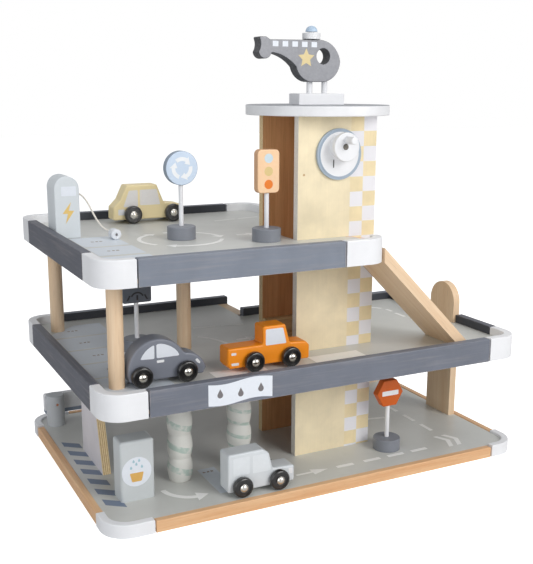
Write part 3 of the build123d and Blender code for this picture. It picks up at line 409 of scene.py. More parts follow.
# finishes of the carried-over nodes
paints = {
    "slateFront": colour(110, 115, 127),
    "slateUpper": colour(123, 130, 143),
    # painted shade: the side rails take a darker copy of the same slate, as their sides face away from the
    # key light
    "slateSideShade": colour(84, 87, 98),
    # painted shade: a darker slate for the rails' inner faces, where the decks and the tower shade them
    "slateInnerShade": colour(58, 61, 69),
    "white": colour(238, 239, 242),
    # painted shade: a grey for the roof's up-facing top
    "roofTopShade": colour(162, 165, 171),
    "boardPrint": colour(210, 211, 207),
    # painted shade: a dark grey for every face of the decks but the top
    "boardUnderShade": colour(124, 124, 126),
    "beechLight": colour(234, 194, 150),
    "beechDark": colour(220, 168, 120),
    "pineLight": colour(240, 214, 182),
    "pineDark": colour(226, 192, 154),
    "cream": colour(241, 226, 192),
    "checkWhite": colour(234, 233, 238),
    "checkYellow": colour(238, 220, 178),
    "plyLight": colour(246, 226, 180),
    "plyDark": colour(190, 150, 100),
    "frontEdgeLight": colour(250, 246, 238),
    "frontEdgeDark": colour(206, 198, 186),
    "brownLight": colour(232, 180, 128),
    "brownDark": colour(206, 150, 100),
    "lilac": colour(222, 218, 222),
    "paleGrey": colour(203, 208, 210),
    "postGrey": colour(192, 196, 200),
    "bandGrey": colour(140, 152, 170),
    "rollerWhite": colour(228, 228, 222),
    "rollerGreen": colour(186, 203, 194),
    "footGrey": colour(132, 136, 145),
    "skyBlue": colour(204, 221, 241),
    "rimGrey": colour(140, 155, 172),
    "signSlate": colour(92, 98, 108),
    "orange": colour(210, 94, 6),
    "peach": colour(247, 206, 162),
    "yellow": colour(250, 232, 182),
    "coupeGrey": colour(124, 128, 139),
    "heliGrey": colour(148, 149, 155),
    "heliEdge": colour(54, 56, 61),
    "pickupOrange": colour(250, 148, 22),
    "wagonGrey": colour(216, 221, 225),
    "wheelBlack": colour(28, 27, 28),
    "chrome": colour(226, 222, 214),
    "wearPale": colour(176, 168, 164),
}


def faceMask(tree, axis, sign, threshold=0.7):
    side = facing(tree, axis)
    return calc(tree, "GREATER_THAN", side if sign > 0 else calc(tree, "MULTIPLY", side, -1.0), threshold)


def slateRail(name, tint, along, inner=()):
    material, tree, shader = newMaterial(name)
    grain = grainPoint(tree, along)
    tone = paintedColour(tree, tint, grain, 0.07)
    brushed = ramp(tree, noise(tree, grain, 1.6, 6, 0.7), 0.5, 0.7)
    tone = blendColour(tree, calc(tree, "MULTIPLY", brushed, 0.22), tone, paints["wearPale"])
    # painted shade: faces turned in towards the deck take the darker slate
    for axis, sign in inner:
        dark = paintedColour(tree, paints["slateInnerShade"], grain, 0.06)
        tone = blendColour(tree, faceMask(tree, axis, sign), tone, dark)
    broken = ramp(tree, noise(tree, objectPoint(tree), brush["edgeSpeckle"], 3), 0.4, 0.6)
    worn = calc(tree, "MULTIPLY", edgeMask(tree, 1.0 * mm), broken)
    tone = blendColour(tree, worn, tone, paints["wearPale"])
    tree.links.new(tone, shader.inputs["Base Color"])
    brushFinish(tree, shader, grain, 0.42, 0.3)
    return material


def twoSided(name, faces, edges, axis, strength=0.06):
    material, tree, shader = newMaterial(name)  # one tint on the flat faces, another on the sawn edge
    grain = grainPoint(tree, "X")
    flat = calc(tree, "GREATER_THAN", calc(tree, "ABSOLUTE", facing(tree, axis)), 0.8)
    tone = blendColour(tree, flat, paintedColour(tree, edges, grain, strength),
                       paintedColour(tree, faces, grain, strength))
    speckle = ramp(tree, noise(tree, objectPoint(tree), 320, 4, 0.7), 0.35, 0.75)
    tone = blendColour(tree, calc(tree, "MULTIPLY", speckle, 0.12), tone, paints["white"])
    tree.links.new(tone, shader.inputs["Base Color"])
    brushFinish(tree, shader, grain, 0.42, 0.14)
    return material


def printedBoard(name):
    material, tree, shader = newMaterial(name)
    grain = grainPoint(tree, "X")
    top = paintedColour(tree, paints["boardPrint"], grain, 0.03)
    # painted shade: the undersides and edges of the boards take a dark grey
    under = paintedColour(tree, paints["boardUnderShade"], grain, 0.05)
    tree.links.new(blendColour(tree, faceMask(tree, 2, 1), under, top), shader.inputs["Base Color"])
    cloud = noise(tree, objectPoint(tree), 26, 4)
    tree.links.new(calc(tree, "ADD", calc(tree, "MULTIPLY", cloud, 0.16), 0.26), shader.inputs["Roughness"])
    surfaceBump(tree, shader, noise(tree, grain, 6.0, 3), 0.04, 0.3 * mm)
    return material


def towerFront(name):
    material, tree, shader = newMaterial(name)
    grain = grainPoint(tree, "Z")
    check = {"left": 58.6, "pitch": 16.44, "top": 391.0, "streaks": 0.085}
    across = calc(tree, "DIVIDE", calc(tree, "SUBTRACT", axisValue(tree, 0), check["left"] * mm),
                  check["pitch"] * mm)
    down = calc(tree, "DIVIDE", calc(tree, "SUBTRACT", check["top"] * mm, axisValue(tree, 2)),
                check["pitch"] * mm)
    steps = calc(tree, "ADD", calc(tree, "FLOOR", across), calc(tree, "FLOOR", down))
    parity = calc(tree, "MODULO", steps, 2.0)
    inside = calc(tree, "GREATER_THAN", across, 0.0)
    white = calc(tree, "MULTIPLY", calc(tree, "GREATER_THAN", parity, 0.5), inside)
    lacquer = paintedColour(tree, paints["cream"], grain, check["streaks"])
    yellow = paintedColour(tree, paints["checkYellow"], grain, check["streaks"])
    squares = blendColour(tree, inside, lacquer, yellow)
    squares = blendColour(tree, white, squares, paints["checkWhite"])
    brown = woodColour(tree, paints["brownLight"], paints["brownDark"], grain)
    edge = plyEdges(tree, 1, paints["frontEdgeLight"], paints["frontEdgeDark"])
    tone = blendColour(tree, faceMask(tree, 1, -1), edge, squares)
    tone = blendColour(tree, faceMask(tree, 1, 1), tone, brown)
    tree.links.new(tone, shader.inputs["Base Color"])
    brushFinish(tree, shader, grain, 0.4, 0.1)
    return material


def towerWall(name, plyAxis, outside):
    material, tree, shader = newMaterial(name)
    grain = grainPoint(tree, "Z", (0.3, 0.7, 0.1))
    brown = woodColour(tree, paints["brownLight"], paints["brownDark"], grain)
    cream = paintedColour(tree, paints["cream"], grain, 0.05)
    edge = plyEdges(tree, plyAxis, paints["plyLight"], paints["plyDark"])
    tone = blendColour(tree, faceMask(tree, plyAxis, -1), edge, brown)
    tone = blendColour(tree, faceMask(tree, plyAxis, 1), tone, cream if outside else brown)
    tree.links.new(tone, shader.inputs["Base Color"])
    brushFinish(tree, shader, grain, 0.44, 0.14)
    return material


def paintedPly(name, tint):
    material, tree, shader = newMaterial(name)
    grain = grainPoint(tree, "Z")
    faces = paintedColour(tree, tint, grain, 0.05)
    edge = plyEdges(tree, 0, paints["plyLight"], paints["plyDark"], 2.1 * mm)
    across = calc(tree, "GREATER_THAN", calc(tree, "ABSOLUTE", facing(tree, 0)), 0.7)
    tree.links.new(blendColour(tree, across, edge, faces), shader.inputs["Base Color"])
    evenFinish(tree, shader, grain, 0.52, 0.14)
    return material


def splitByHeight(name, lower, upper, height, axis=2, rough=0.45):
    material, tree, shader = newMaterial(name)
    grain = grainPoint(tree, "X")
    above = calc(tree, "GREATER_THAN", axisValue(tree, axis), height)
    tone = blendColour(tree, above, paintedColour(tree, lower, grain), paintedColour(tree, upper, grain))
    tree.links.new(tone, shader.inputs["Base Color"])
    brushFinish(tree, shader, grain, rough - 0.07, 0.1, 0.14)
    return material


def centreOf(nodeName):
    low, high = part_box(nodeName)
    return (low + high) / 2


def radiusFrom(tree, centre, first, second):
    a = calc(tree, "SUBTRACT", axisValue(tree, first), centre[first])
    b = calc(tree, "SUBTRACT", axisValue(tree, second), centre[second])
    return calc(tree, "SQRT", calc(tree, "ADD", calc(tree, "MULTIPLY", a, a), calc(tree, "MULTIPLY", b, b)))


wheel = {"nailRadius": 4.45, "ringPitch": 0.9, "ringStrength": 0.12, "blackRough": 0.3, "nailRough": 0.12}


def wheelFinish(name, nodeName):
    material, tree, shader = newMaterial(name)
    radius = radiusFrom(tree, centreOf(nodeName), 0, 2)
    nail = calc(tree, "LESS_THAN", radius, wheel["nailRadius"] * mm)
    tone = blendColour(tree, nail, paints["wheelBlack"], paints["chrome"])
    tree.links.new(tone, shader.inputs["Base Color"])
    tree.links.new(nail, shader.inputs["Metallic"])
    tree.links.new(ramp(tree, nail, -1.6, 1.0), shader.inputs["Coat Weight"])
    turned = calc(tree, "SINE", calc(tree, "MULTIPLY", radius, 2 * math.pi / (wheel["ringPitch"] * mm)))
    rings = calc(tree, "MULTIPLY", calc(tree, "SUBTRACT", 1.0, nail), turned)
    surfaceBump(tree, shader, rings, wheel["ringStrength"], 0.2 * mm)
    dull = addNode(tree, "MapRange", {"Value": nail, "To Min": wheel["blackRough"],
                                      "To Max": wheel["nailRough"]})
    tree.links.new(dull.outputs[0], shader.inputs["Roughness"])
    return material


crankRim = {"radius": 23.9, "tint": colour(165, 180, 196)}


def crankFace(name):
    material, tree, shader = newMaterial(name)
    radius = radiusFrom(tree, centreOf("crank_disc"), 0, 2)
    rim = calc(tree, "GREATER_THAN", radius, crankRim["radius"] * mm)
    grain = grainPoint(tree, "X")
    tone = blendColour(tree, rim, paintedColour(tree, paints["white"], grain),
                       paintedColour(tree, crankRim["tint"], grain))
    tree.links.new(tone, shader.inputs["Base Color"])
    evenFinish(tree, shader, grain, 0.42, 0.1)
    return material


def rollerFinish(name, nodeName, pitch, share, phase):
    material, tree, shader = newMaterial(name)
    centre = centreOf(nodeName)
    a = calc(tree, "SUBTRACT", axisValue(tree, 0), centre.x)
    b = calc(tree, "SUBTRACT", axisValue(tree, 1), centre.y)
    angle = calc(tree, "DIVIDE", calc(tree, "ARCTAN2", b, a), 2 * math.pi)
    wave = calc(tree, "MULTIPLY", noise(tree, objectPoint(tree), 60, 2), 0.12)
    height = calc(tree, "DIVIDE", axisValue(tree, 2), pitch * mm)
    turns = calc(tree, "ADD", height, calc(tree, "ADD", angle, wave))
    band = calc(tree, "LESS_THAN", calc(tree, "FRACT", calc(tree, "ADD", turns, phase)), share)
    grain = grainPoint(tree, "Z")
    patchy = ramp(tree, noise(tree, objectPoint(tree), 150, 4), 0.3, 0.55)
    green = paintedColour(tree, paints["rollerGreen"], grain)
    green = blendColour(tree, patchy, paints["rollerWhite"], green)
    tone = blendColour(tree, band, paintedColour(tree, paints["rollerWhite"], grain), green)
    ends = calc(tree, "GREATER_THAN", calc(tree, "ABSOLUTE", facing(tree, 2)), 0.85)
    tone = blendColour(tree, ends, tone, woodColour(tree, paints["brownLight"], paints["brownDark"], grain))
    tree.links.new(tone, shader.inputs["Base Color"])
    evenFinish(tree, shader, grain, 0.55, 0.12)
    return material


def twistedCord(name, tint):
    material, tree, shader = newMaterial(name)
    slant = calc(tree, "ADD", axisValue(tree, 2), calc(tree, "MULTIPLY", axisValue(tree, 0), 1.2))
    strands = calc(tree, "FRACT", calc(tree, "DIVIDE", slant, liftCord["twist"] * mm))
    fuzz = noise(tree, objectPoint(tree), 1900, 3)
    weave = calc(tree, "ADD", calc(tree, "MULTIPLY", calc(tree, "PINGPONG", strands, 0.5), 1.2),
                 calc(tree, "MULTIPLY", fuzz, 0.4))
    tree.links.new(blendColour(tree, weave, shade(tint, 0.7), tint), shader.inputs["Base Color"])
    shader.inputs["Roughness"].default_value = 0.85
    surfaceBump(tree, shader, weave, 0.5, 0.2 * mm)
    return material


def paintPiece(piece, material):
    piece.data.materials.clear()
    piece.data.materials.append(material)


def dress(material, *names):
    for name in names:
        paintPiece(nodes[name], material)


dress(slateRail("slateFrontRail", paints["slateFront"], "X", [(1, 1)]), "middle_rail_front")
dress(slateRail("slateUpperFrontRail", paints["slateUpper"], "X", [(1, 1)]), "upper_rail_front")
# the side rails are painted a shaded copy of the slate
dress(slateRail("slateLeftRail", paints["slateSideShade"], "Y", [(0, 1)]), "middle_rail_left", "upper_rail_left")
dress(slateRail("slateRightRail", paints["slateSideShade"], "Y", [(0, -1)]), "middle_rails_right")
dress(slateRail("slateBackRail", paints["slateFront"], "X", [(1, -1)]),
      "middle_rails_back", "upper_rails_back")
dress(paintedWood("whiteBlocks", paints["white"], "X", strength=0.025, rough=0.42),
      "base_corners", "middle_corners", "upper_corners", "heli_stand")
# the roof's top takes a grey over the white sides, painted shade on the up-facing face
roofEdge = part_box("tower_roof")[1].z - 0.5 * mm
dress(splitByHeight("roofPaintAndShade", paints["white"], paints["roofTopShade"], roofEdge), "tower_roof")
dress(naturalWood("beechStrips", paints["beechLight"], paints["beechDark"], "frame"), "base_strips")
dress(naturalWood("beechDowels", paints["pineLight"], paints["pineDark"], "Z"),
      "deck_posts", "dowel_pins", "arch_panel")
dress(naturalWood("rampBoard", paints["pineLight"], paints["pineDark"], "X", (0.2, 0.1, 0),
                  (0, math.radians(-45), 0)), "exit_ramp")
dress(naturalWood("backRampBoard", paints["pineLight"], paints["pineDark"], "X", (0.4, 0.5, 0),
                  (0, math.radians(-30), 0)), "back_ramp")
dress(naturalWood("axleBeech", paints["beechLight"], paints["beechDark"], "Y"), "winding_axle")
dress(printedBoard("printedBoard"), "base_board", "middle_deck", "upper_deck")
dress(towerFront("towerFrontLacquer"), "tower_front_panel")
dress(towerWall("towerBackWood", 1, True), "tower_back_panel")
dress(towerWall("towerSideWood", 0, True), "tower_side_panel")
dress(naturalWood("platformPly", paints["plyLight"], paints["plyDark"], "X"), "lift_platform")
dress(paintedPly("sidePanelPaint", paints["lilac"]), "side_panel")
dress(crankFace("crankFace"), "crank_disc")
dress(paintedWood("knobWhite", paints["white"], "Y", strength=0.02, rough=0.38), "crank_knob")
dress(rollerFinish("leftRollerPaint", "wash_roller_left", 24.5, 0.27, 0.38), "wash_roller_left")
dress(rollerFinish("rightRollerPaint", "wash_roller_right", 14.4, 0.27, 0.83), "wash_roller_right")
dress(paintedWood("kioskPaint", paints["paleGrey"], "Z", strength=0.03), "kiosk")
dress(paintedWood("barrierPostPaint", paints["postGrey"], "Z", strength=0.03), "barrier_post")
dress(splitByHeight("barrierArmPaint", paints["bandGrey"], paints["white"], 26 * mm), "barrier_arm")
dress(paintedWood("chargerPaint", colour(216, 222, 226), "Z", strength=0.03), "charger")
dress(paintedWood("nozzlePaint", colour(226, 229, 234), "Y", strength=0.03), "charger_nozzle")
signFoot = 14.1 * mm
for sign in ("round_sign", "square_sign", "stop_sign", "traffic_light"):
    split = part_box(sign + "_stand")[0].z + signFoot
    dress(splitByHeight(sign + "StandPaint", paints["footGrey"], paints["white"], split), sign + "_stand")
dress(twoSided("roundSignPaint", paints["skyBlue"], paints["rimGrey"], 1, 0.03), "round_sign_head")
dress(paintedWood("squareSignPaint", paints["signSlate"], "Z"), "square_sign_head")
dress(paintedWood("stopSignPaint", paints["orange"], "Z", strength=0.05), "stop_sign_head")
dress(twoSided("trafficLightPaint", paints["peach"], colour(216, 168, 124), 1, 0.04), "traffic_light_head")
dress(paintedWood("hatchbackPaint", paints["yellow"], "X", strength=0.03, rough=0.4), "hatchback_body")
dress(paintedWood("coupePaint", paints["coupeGrey"], "X", colour(160, 163, 170), strength=0.04, rough=0.4),
      "coupe_body")
dress(paintedWood("pickupPaint", paints["pickupOrange"], "X", strength=0.04, rough=0.4), "pickup_body")
dress(paintedWood("wagonPaint", paints["wagonGrey"], "X", strength=0.025, rough=0.4), "wagon_body")
dress(twoSided("heliPaint", paints["heliGrey"], paints["heliEdge"], 1), "heli_body")
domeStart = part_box("heli_rotor")[1].z - 6.4 * mm
dress(splitByHeight("rotorPaint", paints["white"], colour(184, 206, 228), domeStart), "heli_rotor")
for car in ("hatchback", "coupe", "pickup", "wagon"):
    for side in ("left", "right"):
        dress(wheelFinish(car + "Wheels" + side, f"{car}_wheels_{side}"), f"{car}_wheels_{side}")
print("finishes done")

# prints on the decks, in millimetres from the middle of the base
whiteInk = ink("roadWhite", colour(253, 253, 251))
padInk = ink("bayPads", colour(222, 229, 237))
slateInk = ink("zebraSlate", colour(124, 138, 160))
# this ink prints the wash label's drops and is also painted shade in the charger nozzle's hole
markAndHoleShadeInk = ink("smallMarksAndShade", colour(120, 116, 118))
tickInk = ink("bayTicks", colour(150, 134, 124))
coralInk = ink("cornerLine", colour(240, 176, 150))
# painted shade: a dark ink for the inside of the crank disc's slot
slitShadeInk = ink("slitShade", colour(66, 66, 70))
plugInk = ink("woodPlug", colour(206, 172, 126))
deckTop = {"base": 11.0 * mm, "middle": 133.5 * mm, "upper": 259.5 * mm}
tick = {"pitch": 4.6, "width": 2.8, "foot": -1.6, "left": (1.4, 0.2, 1.8), "right": (0.2, 1.8, 0.6)}

basePrint = {
    "zebra": {"left": -234.8, "right": -216.8, "first": 62.6, "pitch": -27.7, "count": 7, "width": 14.0,
              "skew": -13.4},
    "laneDashes": {"starts": (20.5, 56.0, 88.0, 120.5), "length": 21.5, "low": -136.4, "high": -131.2},
    "laneArrow": {"tail": -30.0, "neck": -10.0, "tip": 9.5, "middle": -133.0, "shaft": 3.2, "head": 13.0},
    "sideDashes": {"left": 178.6, "right": 183.4, "spans": ((-18.2, -0.2), (-55.6, -32.7), (-91.8, -69.2))},
    "cornerDash": {"start": (131.0, -25.0), "end": (154.0, -29.5), "count": 1, "width": 4.6, "share": 1.0},
    "chevrons": {"lefts": (169.3, 181.3), "outline": [(0, -110), (5.5, -110), (13, -125.5), (5.5, -142),
                                                      (-0.5, -142), (7, -125.5)]},
    "turnArrow": (-141, -102, 31, 5.6, 184, 262, 9.0),
    "washPad": (-121.0, -101.0, -137.0, -73.4),
    "washTicks": (-118.0, -82.4),
}


def printDeck(name, shapes, deck, material, above=0.0):
    printShapes(name, shapes, topPlane(deckTop[deck] + above), "garage", material)


def bayTicks(x, y, count=3):
    marks = []
    for i in range(count):
        left, low = x + tick["pitch"] * i, y + tick["foot"]
        right = left + tick["width"]
        marks.append([(left, low), (right, low), (right, y + tick["right"][i]), (left, y + tick["left"][i])])
    return marks


def ticksInBays(bays):
    return [mark for low, high in bays["edges"] for mark in bayTicks(bays["ticks"], (low + high) / 2)]


def printBase():
    z = basePrint["zebra"]
    half, bars = z["width"] / 2, []
    for i in range(z["count"]):
        middle = z["first"] + i * z["pitch"]
        bars.append([(z["left"], middle - half), (z["right"], middle + z["skew"] - half),
                     (z["right"], middle + z["skew"] + half), (z["left"], middle + half)])
    printDeck("zebraBars", bars, "base", slateInk)
    lane, side, arrow = basePrint["laneDashes"], basePrint["sideDashes"], basePrint["laneArrow"]
    marks = [rectangle(x, x + lane["length"], lane["low"], lane["high"]) for x in lane["starts"]]
    marks += [rectangle(side["left"], side["right"], low, high) for low, high in side["spans"]]
    marks += dashes(**basePrint["cornerDash"])
    shaft, head, middle = arrow["shaft"] / 2, arrow["head"] / 2, arrow["middle"]
    marks.append([(arrow["tail"], middle - shaft), (arrow["neck"], middle - shaft),
                  (arrow["neck"], middle - head), (arrow["tip"], middle), (arrow["neck"], middle + head),
                  (arrow["neck"], middle + shaft), (arrow["tail"], middle + shaft)])
    for left in basePrint["chevrons"]["lefts"]:
        marks.append([(left + x, y) for x, y in basePrint["chevrons"]["outline"]])
    marks.append(arcBand(*basePrint["turnArrow"]))
    printDeck("baseLaneMarks", marks, "base", whiteInk)
    printDeck("washPad", [rectangle(*basePrint["washPad"])], "base", padInk)
    printDeck("washPadTicks", bayTicks(*basePrint["washTicks"]), "base", tickInk, printThickness)


middlePrint = {
    "bays": {"left": -232, "right": -166, "ticks": -212, "cutLeft": -198, "cutDrop": 30,
             "edges": [(84, 133), (29, 79), (-25, 24), (-76.5, -30), (-131, -81.5)]},
    "dashes": [{"start": (-70, 60), "end": (0, 48), "count": 2, "width": 3.6, "share": 0.8},
               {"start": (196, 14), "end": (196, -60), "count": 2, "width": 4.2, "share": 0.55}],
    "arcs": [(166, 28, 31, 4.2, 28, 70), (166, 28, 31, 4.2, -8, 14), (-116, -22, 55, 4.2, 50, 2)],
    "arrow": [(-44, -13), (-30, -13), (-30, -18), (-20, -10.5), (-30, -3), (-30, -8), (-44, -8)],
    "frontPads": [(-4, 58, -130, -108), (-121, -62, -132, -110)],
}


def printMiddle():
    bays = middlePrint["bays"]
    left, right = bays["left"], bays["right"]
    pads = [rectangle(left, right, low, high) for low, high in bays["edges"][1:]]
    low, high = bays["edges"][0]
    pads.append([(left, low), (right, low), (right, high), (bays["cutLeft"], high),
                 (left, high - bays["cutDrop"])])  # its corner goes round the post
    printDeck("middleBays", pads, "middle", padInk)
    printDeck("middleBayTicks", ticksInBays(bays), "middle", tickInk, printThickness)
    marks = [mark for row in middlePrint["dashes"] for mark in dashes(**row)]
    marks += [arcBand(*arc) for arc in middlePrint["arcs"]] + [middlePrint["arrow"]]
    printDeck("middleLaneMarks", marks, "middle", whiteInk)
    printDeck("middleFrontPads", [rectangle(*pad) for pad in middlePrint["frontPads"]], "middle", whiteInk)


upperPrint = {
    "bays": {"left": -225, "right": -177, "ticks": -210, "edges": [(-33, 26), (-86, -40), (-138, -94)]},
    "circle": {"x": -116, "y": -23, "radius": 45, "width": 4.4, "head": 7.5, "starts": (95, -25, -145),
               "sweep": 92},
    "arrow": [(-50, -27), (-36, -27), (-36, -32), (-26, -24.5), (-36, -17), (-36, -22), (-50, -22)],
    "dashes": {"start": (-30, 84), "end": (40, 96), "count": 2, "width": 3.4, "share": 0.85},
    "cornerLine": (40.0, -112.0, 27.0, 1.8, 60, 5),
}


def arrowRing(ring):
    return [arcBand(ring["x"], ring["y"], ring["radius"], ring["width"], start, start - ring["sweep"],
                    ring["head"]) for start in ring["starts"]]


def printUpper():
    bays = upperPrint["bays"]
    pads = [rectangle(bays["left"], bays["right"], low, high) for low, high in bays["edges"]]
    printDeck("upperBays", pads, "upper", padInk)
    printDeck("upperBayTicks", ticksInBays(bays), "upper", tickInk, printThickness)
    printDeck("cornerLine", [arcBand(*upperPrint["cornerLine"])], "upper", coralInk)
    marks = arrowRing(upperPrint["circle"]) + [upperPrint["arrow"]] + dashes(**upperPrint["dashes"])
    printDeck("upperLaneMarks", marks, "upper", whiteInk)


printBase()
printMiddle()
printUpper()
print("deck prints done")

# prints on the cars, from under each left axle
glassInk = ink("windowWhite", colour(228, 232, 240), 0.3)
greyGlassInk = ink("windowGrey", colour(244, 241, 238), 0.3)
paleGlassInk = ink("windowPale", colour(228, 233, 237), 0.3)
lampInk = ink("lampWhite", colour(240, 240, 242), 0.3)
carRounding = {"Windows": 1.6, "Lamps": 0.7}
carPrints = {
    "hatchback": {"left": -127.2, "floor": 259.5, "glass": greyGlassInk, "slot": "yellow_paint", "Windows": [
        [(-3.5, 39.6), (7.4, 40.0), (7.4, 19.9), (-11, 20.0)],
        [(10.0, 40.1), (31.5, 40.2), (35.8, 21.4), (10.0, 21.4)]],
        "Lamps": [[(-17.5, 17.4), (-9.6, 17.4), (-9.6, 10.2), (-17.5, 10.6)]]},
    "coupe": {"left": -198.4, "floor": 133.5, "glass": glassInk, "slot": "grey_paint", "Windows": [
        [(-0.4, 27.6), (2.2, 32.2), (5.8, 36.2), (9.8, 39.0), (14.2, 40.9), (14.2, 26.9)],
        [(16.4, 27.2), (16.4, 41.2), (20.0, 41.6), (25.0, 40.6), (30.6, 38.0), (35.2, 34.8), (38.8, 30.8),
         (40.2, 27.2)]],
        "Lamps": [[(16.4, 24.9), (24.3, 24.9), (24.0, 22.3), (16.7, 22.3)],
                  [(57.0, 20.6), (59.4, 21.6), (62.4, 17.8), (61.8, 15.6), (58.8, 17.6)]]},
    "pickup": {"left": -77.9, "floor": 133.5, "glass": glassInk, "slot": "orange_paint", "Windows": [
        [(14.5, 42.8), (34.6, 42.6), (38.6, 25.4), (14.5, 25.4)]],
        "Lamps": [[(-24.6, 22.2), (-19.1, 22.0), (-19.4, 19.4), (-24.6, 19.6)],
                  [(-24.7, 11.3), (-16.4, 11.1), (-16.4, 8.3), (-24.4, 8.5)]]},
    "wagon": {"left": -103.8, "floor": 11.0, "glass": paleGlassInk, "slot": "pale_grey_wood", "Windows": [
        [(-9.0, 41.6), (9.3, 41.6), (9.3, 22.4), (-9.0, 22.4)],
        [(12.7, 41.2), (29.4, 41.0), (33.9, 21.8), (12.7, 21.8)]],
        "Lamps": [[(54.4, 19.6), (59.2, 19.4), (59.2, 13.2), (55.2, 13.4)]]},
}


def printCars():
    for car, facts in carPrints.items():
        low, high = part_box(car + "_body")
        for label, y, outward in (("Near", low.y, -1), ("Far", high.y, 1)):
            for part, material in (("Windows", facts["glass"]), ("Lamps", lampInk)):
                moved = [[(x + facts["left"], z + facts["floor"]) for x, z in shape] for shape in facts[part]]
                printShapes(car + part + label, [softened(shape, carRounding[part]) for shape in moved],
                            frontPlane(y, outward), car, material)


printCars()
print("car prints done")

# prints on the charging column, signs, kiosk, helicopter and rail
labelInk = ink("labelWhite", colour(232, 237, 245))
chargerPrint = {
    "screen": (-231.6, -215.4, 305.8, 316.0), "rounding": 0.8, "gold": colour(235, 200, 120),
    "bolt": [(-221.6, 299.2), (-231.0, 287.0), (-225.4, 286.6), (-228.0, 276.0), (-218.4, 289.6),
             (-224.2, 290.2)],
}
heliPrint = {"left": -17.8, "right": -11.0, "pitch": 11.8, "low": 463.2, "high": 468.8, "count": 5,
             "star": (23.1, 451.5, 10.4, 5.0), "starTint": colour(228, 208, 155)}
signPrint = {
    "ring": {"x": -115, "y": 336.0, "radius": 9.8, "width": 4.2, "starts": (130, 10, -110), "sweep": 72,
             "head": 4.4},
    "ringTint": colour(244, 247, 250),
    "dotX": -37.5, "dotRadius": 4.9,
    "dots": [("Top", 347.7, "lampBlue", colour(206, 223, 232)),
             ("Middle", 334.0, "lampYellow", colour(226, 200, 138)),
             ("Bottom", 320.3, "lampOrange", colour(238, 126, 26))],
    "stopBar": (89.5, 111.5, 76.6, 82.2), "barRounding": 1.0,
}
kioskPrint = {
    "sticker": (-202.7, 42, 15.6),
    "bucket": [(-210, 41), (-195.4, 41), (-197.7, 31.5), (-207.7, 31.5)], "bucketRounding": 1.2,
    "bucketTint": colour(226, 178, 96), "dropRadius": 1.2, "dropTint": colour(168, 202, 214),
    "drops": [(-208.5, 46.5), (-202.9, 49.8), (-197.1, 46.5), (-205.7, 53), (-199.9, 53.4)],
}
washLabel = {"left": -145.4, "length": 69.2, "top": 140.6, "swing": 1.7, "phase": 0.95, "height": 21.5,
             "steps": 24, "drops": [(-133, 128.3), (-111, 126.9), (-89, 128.9)], "dropRadius": 3.0}


def drop(x, y, radius):
    angles = [math.radians(150 + 240 * i / 14) for i in range(15)]
    return [(x + radius * math.cos(a), y + radius * math.sin(a)) for a in angles] + [(x, y + 2.1 * radius)]


def printFront(name, shapes, y, material, body="garage", outward=-1):
    printShapes(name, shapes, frontPlane(y, outward), body, material)


def printSmallThings():
    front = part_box("charger")[0].y
    printFront("chargerScreen", [softened(rectangle(*chargerPrint["screen"]), chargerPrint["rounding"])],
               front, labelInk)
    printFront("chargerBolt", [chargerPrint["bolt"]], front, ink("goldInk", chargerPrint["gold"]))
    places = [heliPrint["pitch"] * i for i in range(heliPrint["count"])]
    squares = [rectangle(heliPrint["left"] + x, heliPrint["right"] + x, heliPrint["low"], heliPrint["high"])
               for x in places]
    starInk = ink("starInk", heliPrint["starTint"])
    low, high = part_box("heli_body")
    for label, y, outward in (("Near", low.y, -1), ("Far", high.y, 1)):
        printFront("heliSquares" + label, squares, y, labelInk, "helicopter", outward)
        printFront("heliStar" + label, [star(*heliPrint["star"])], y, starInk, "helicopter",
                   outward)
    printFront("roundSignArrows", arrowRing(signPrint["ring"]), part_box("round_sign_head")[0].y,
               ink("signArrows", signPrint["ringTint"]), "round_sign")
    for label, z, inkName, tint in signPrint["dots"]:
        printFront("lightDot" + label, [disc(signPrint["dotX"], z, signPrint["dotRadius"])],
                   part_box("traffic_light_head")[0].y, ink(inkName, tint), "traffic_light")
    printFront("stopSignBar", [softened(rectangle(*signPrint["stopBar"]), signPrint["barRounding"])],
               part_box("stop_sign_head")[0].y, lampInk, "stop_sign")
    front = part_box("kiosk")[0].y
    printFront("kioskSticker", [disc(*kioskPrint["sticker"])], front, labelInk)
    front -= printThickness
    printFront("kioskBucket", [softened(kioskPrint["bucket"], kioskPrint["bucketRounding"])], front,
               ink("ochreInk", kioskPrint["bucketTint"]))
    printFront("kioskDrops", [drop(x, z, kioskPrint["dropRadius"]) for x, z in kioskPrint["drops"]], front,
               ink("dropBlue", kioskPrint["dropTint"]))


def printWashLabel():
    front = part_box("middle_rail_front")[0].y
    top = []
    for i in range(washLabel["steps"] + 1):
        t = i / washLabel["steps"]
        top.append((washLabel["left"] + washLabel["length"] * t,
                    washLabel["top"] + washLabel["swing"] * math.sin(math.pi * (2 * t - washLabel["phase"]))))
    foot = [(x, z - washLabel["height"]) for x, z in reversed(top)]
    printFront("washLabel", [top + foot], front, labelInk)
    printFront("washLabelDrops", [drop(x, z, washLabel["dropRadius"]) for x, z in washLabel["drops"]],
               front - printThickness, markAndHoleShadeInk)


smallMarksAndShade = {
    # painted shade in the crank disc's slot
    "crankSlitShade": (34.3, 35.5, 336.2, 344.8),
    "towerPlug": (0.7, 329.3, 1.3, 20),
    "dial": {"above": 4.5, "radius": 7.2, "width": 1.8, "start": 25, "end": 155, "spread": 11.44, "low": -1.2,
             "high": 4.4, "lean": 3, "tint": colour(34, 34, 38)},
    "postDot": {"z": 39.4, "radius": 1.6, "sides": 24, "tint": colour(196, 130, 96)},
    # painted shade in the charger nozzle's hole
    "nozzleHoleShade": {"radius": 1.1, "sides": 20},
}


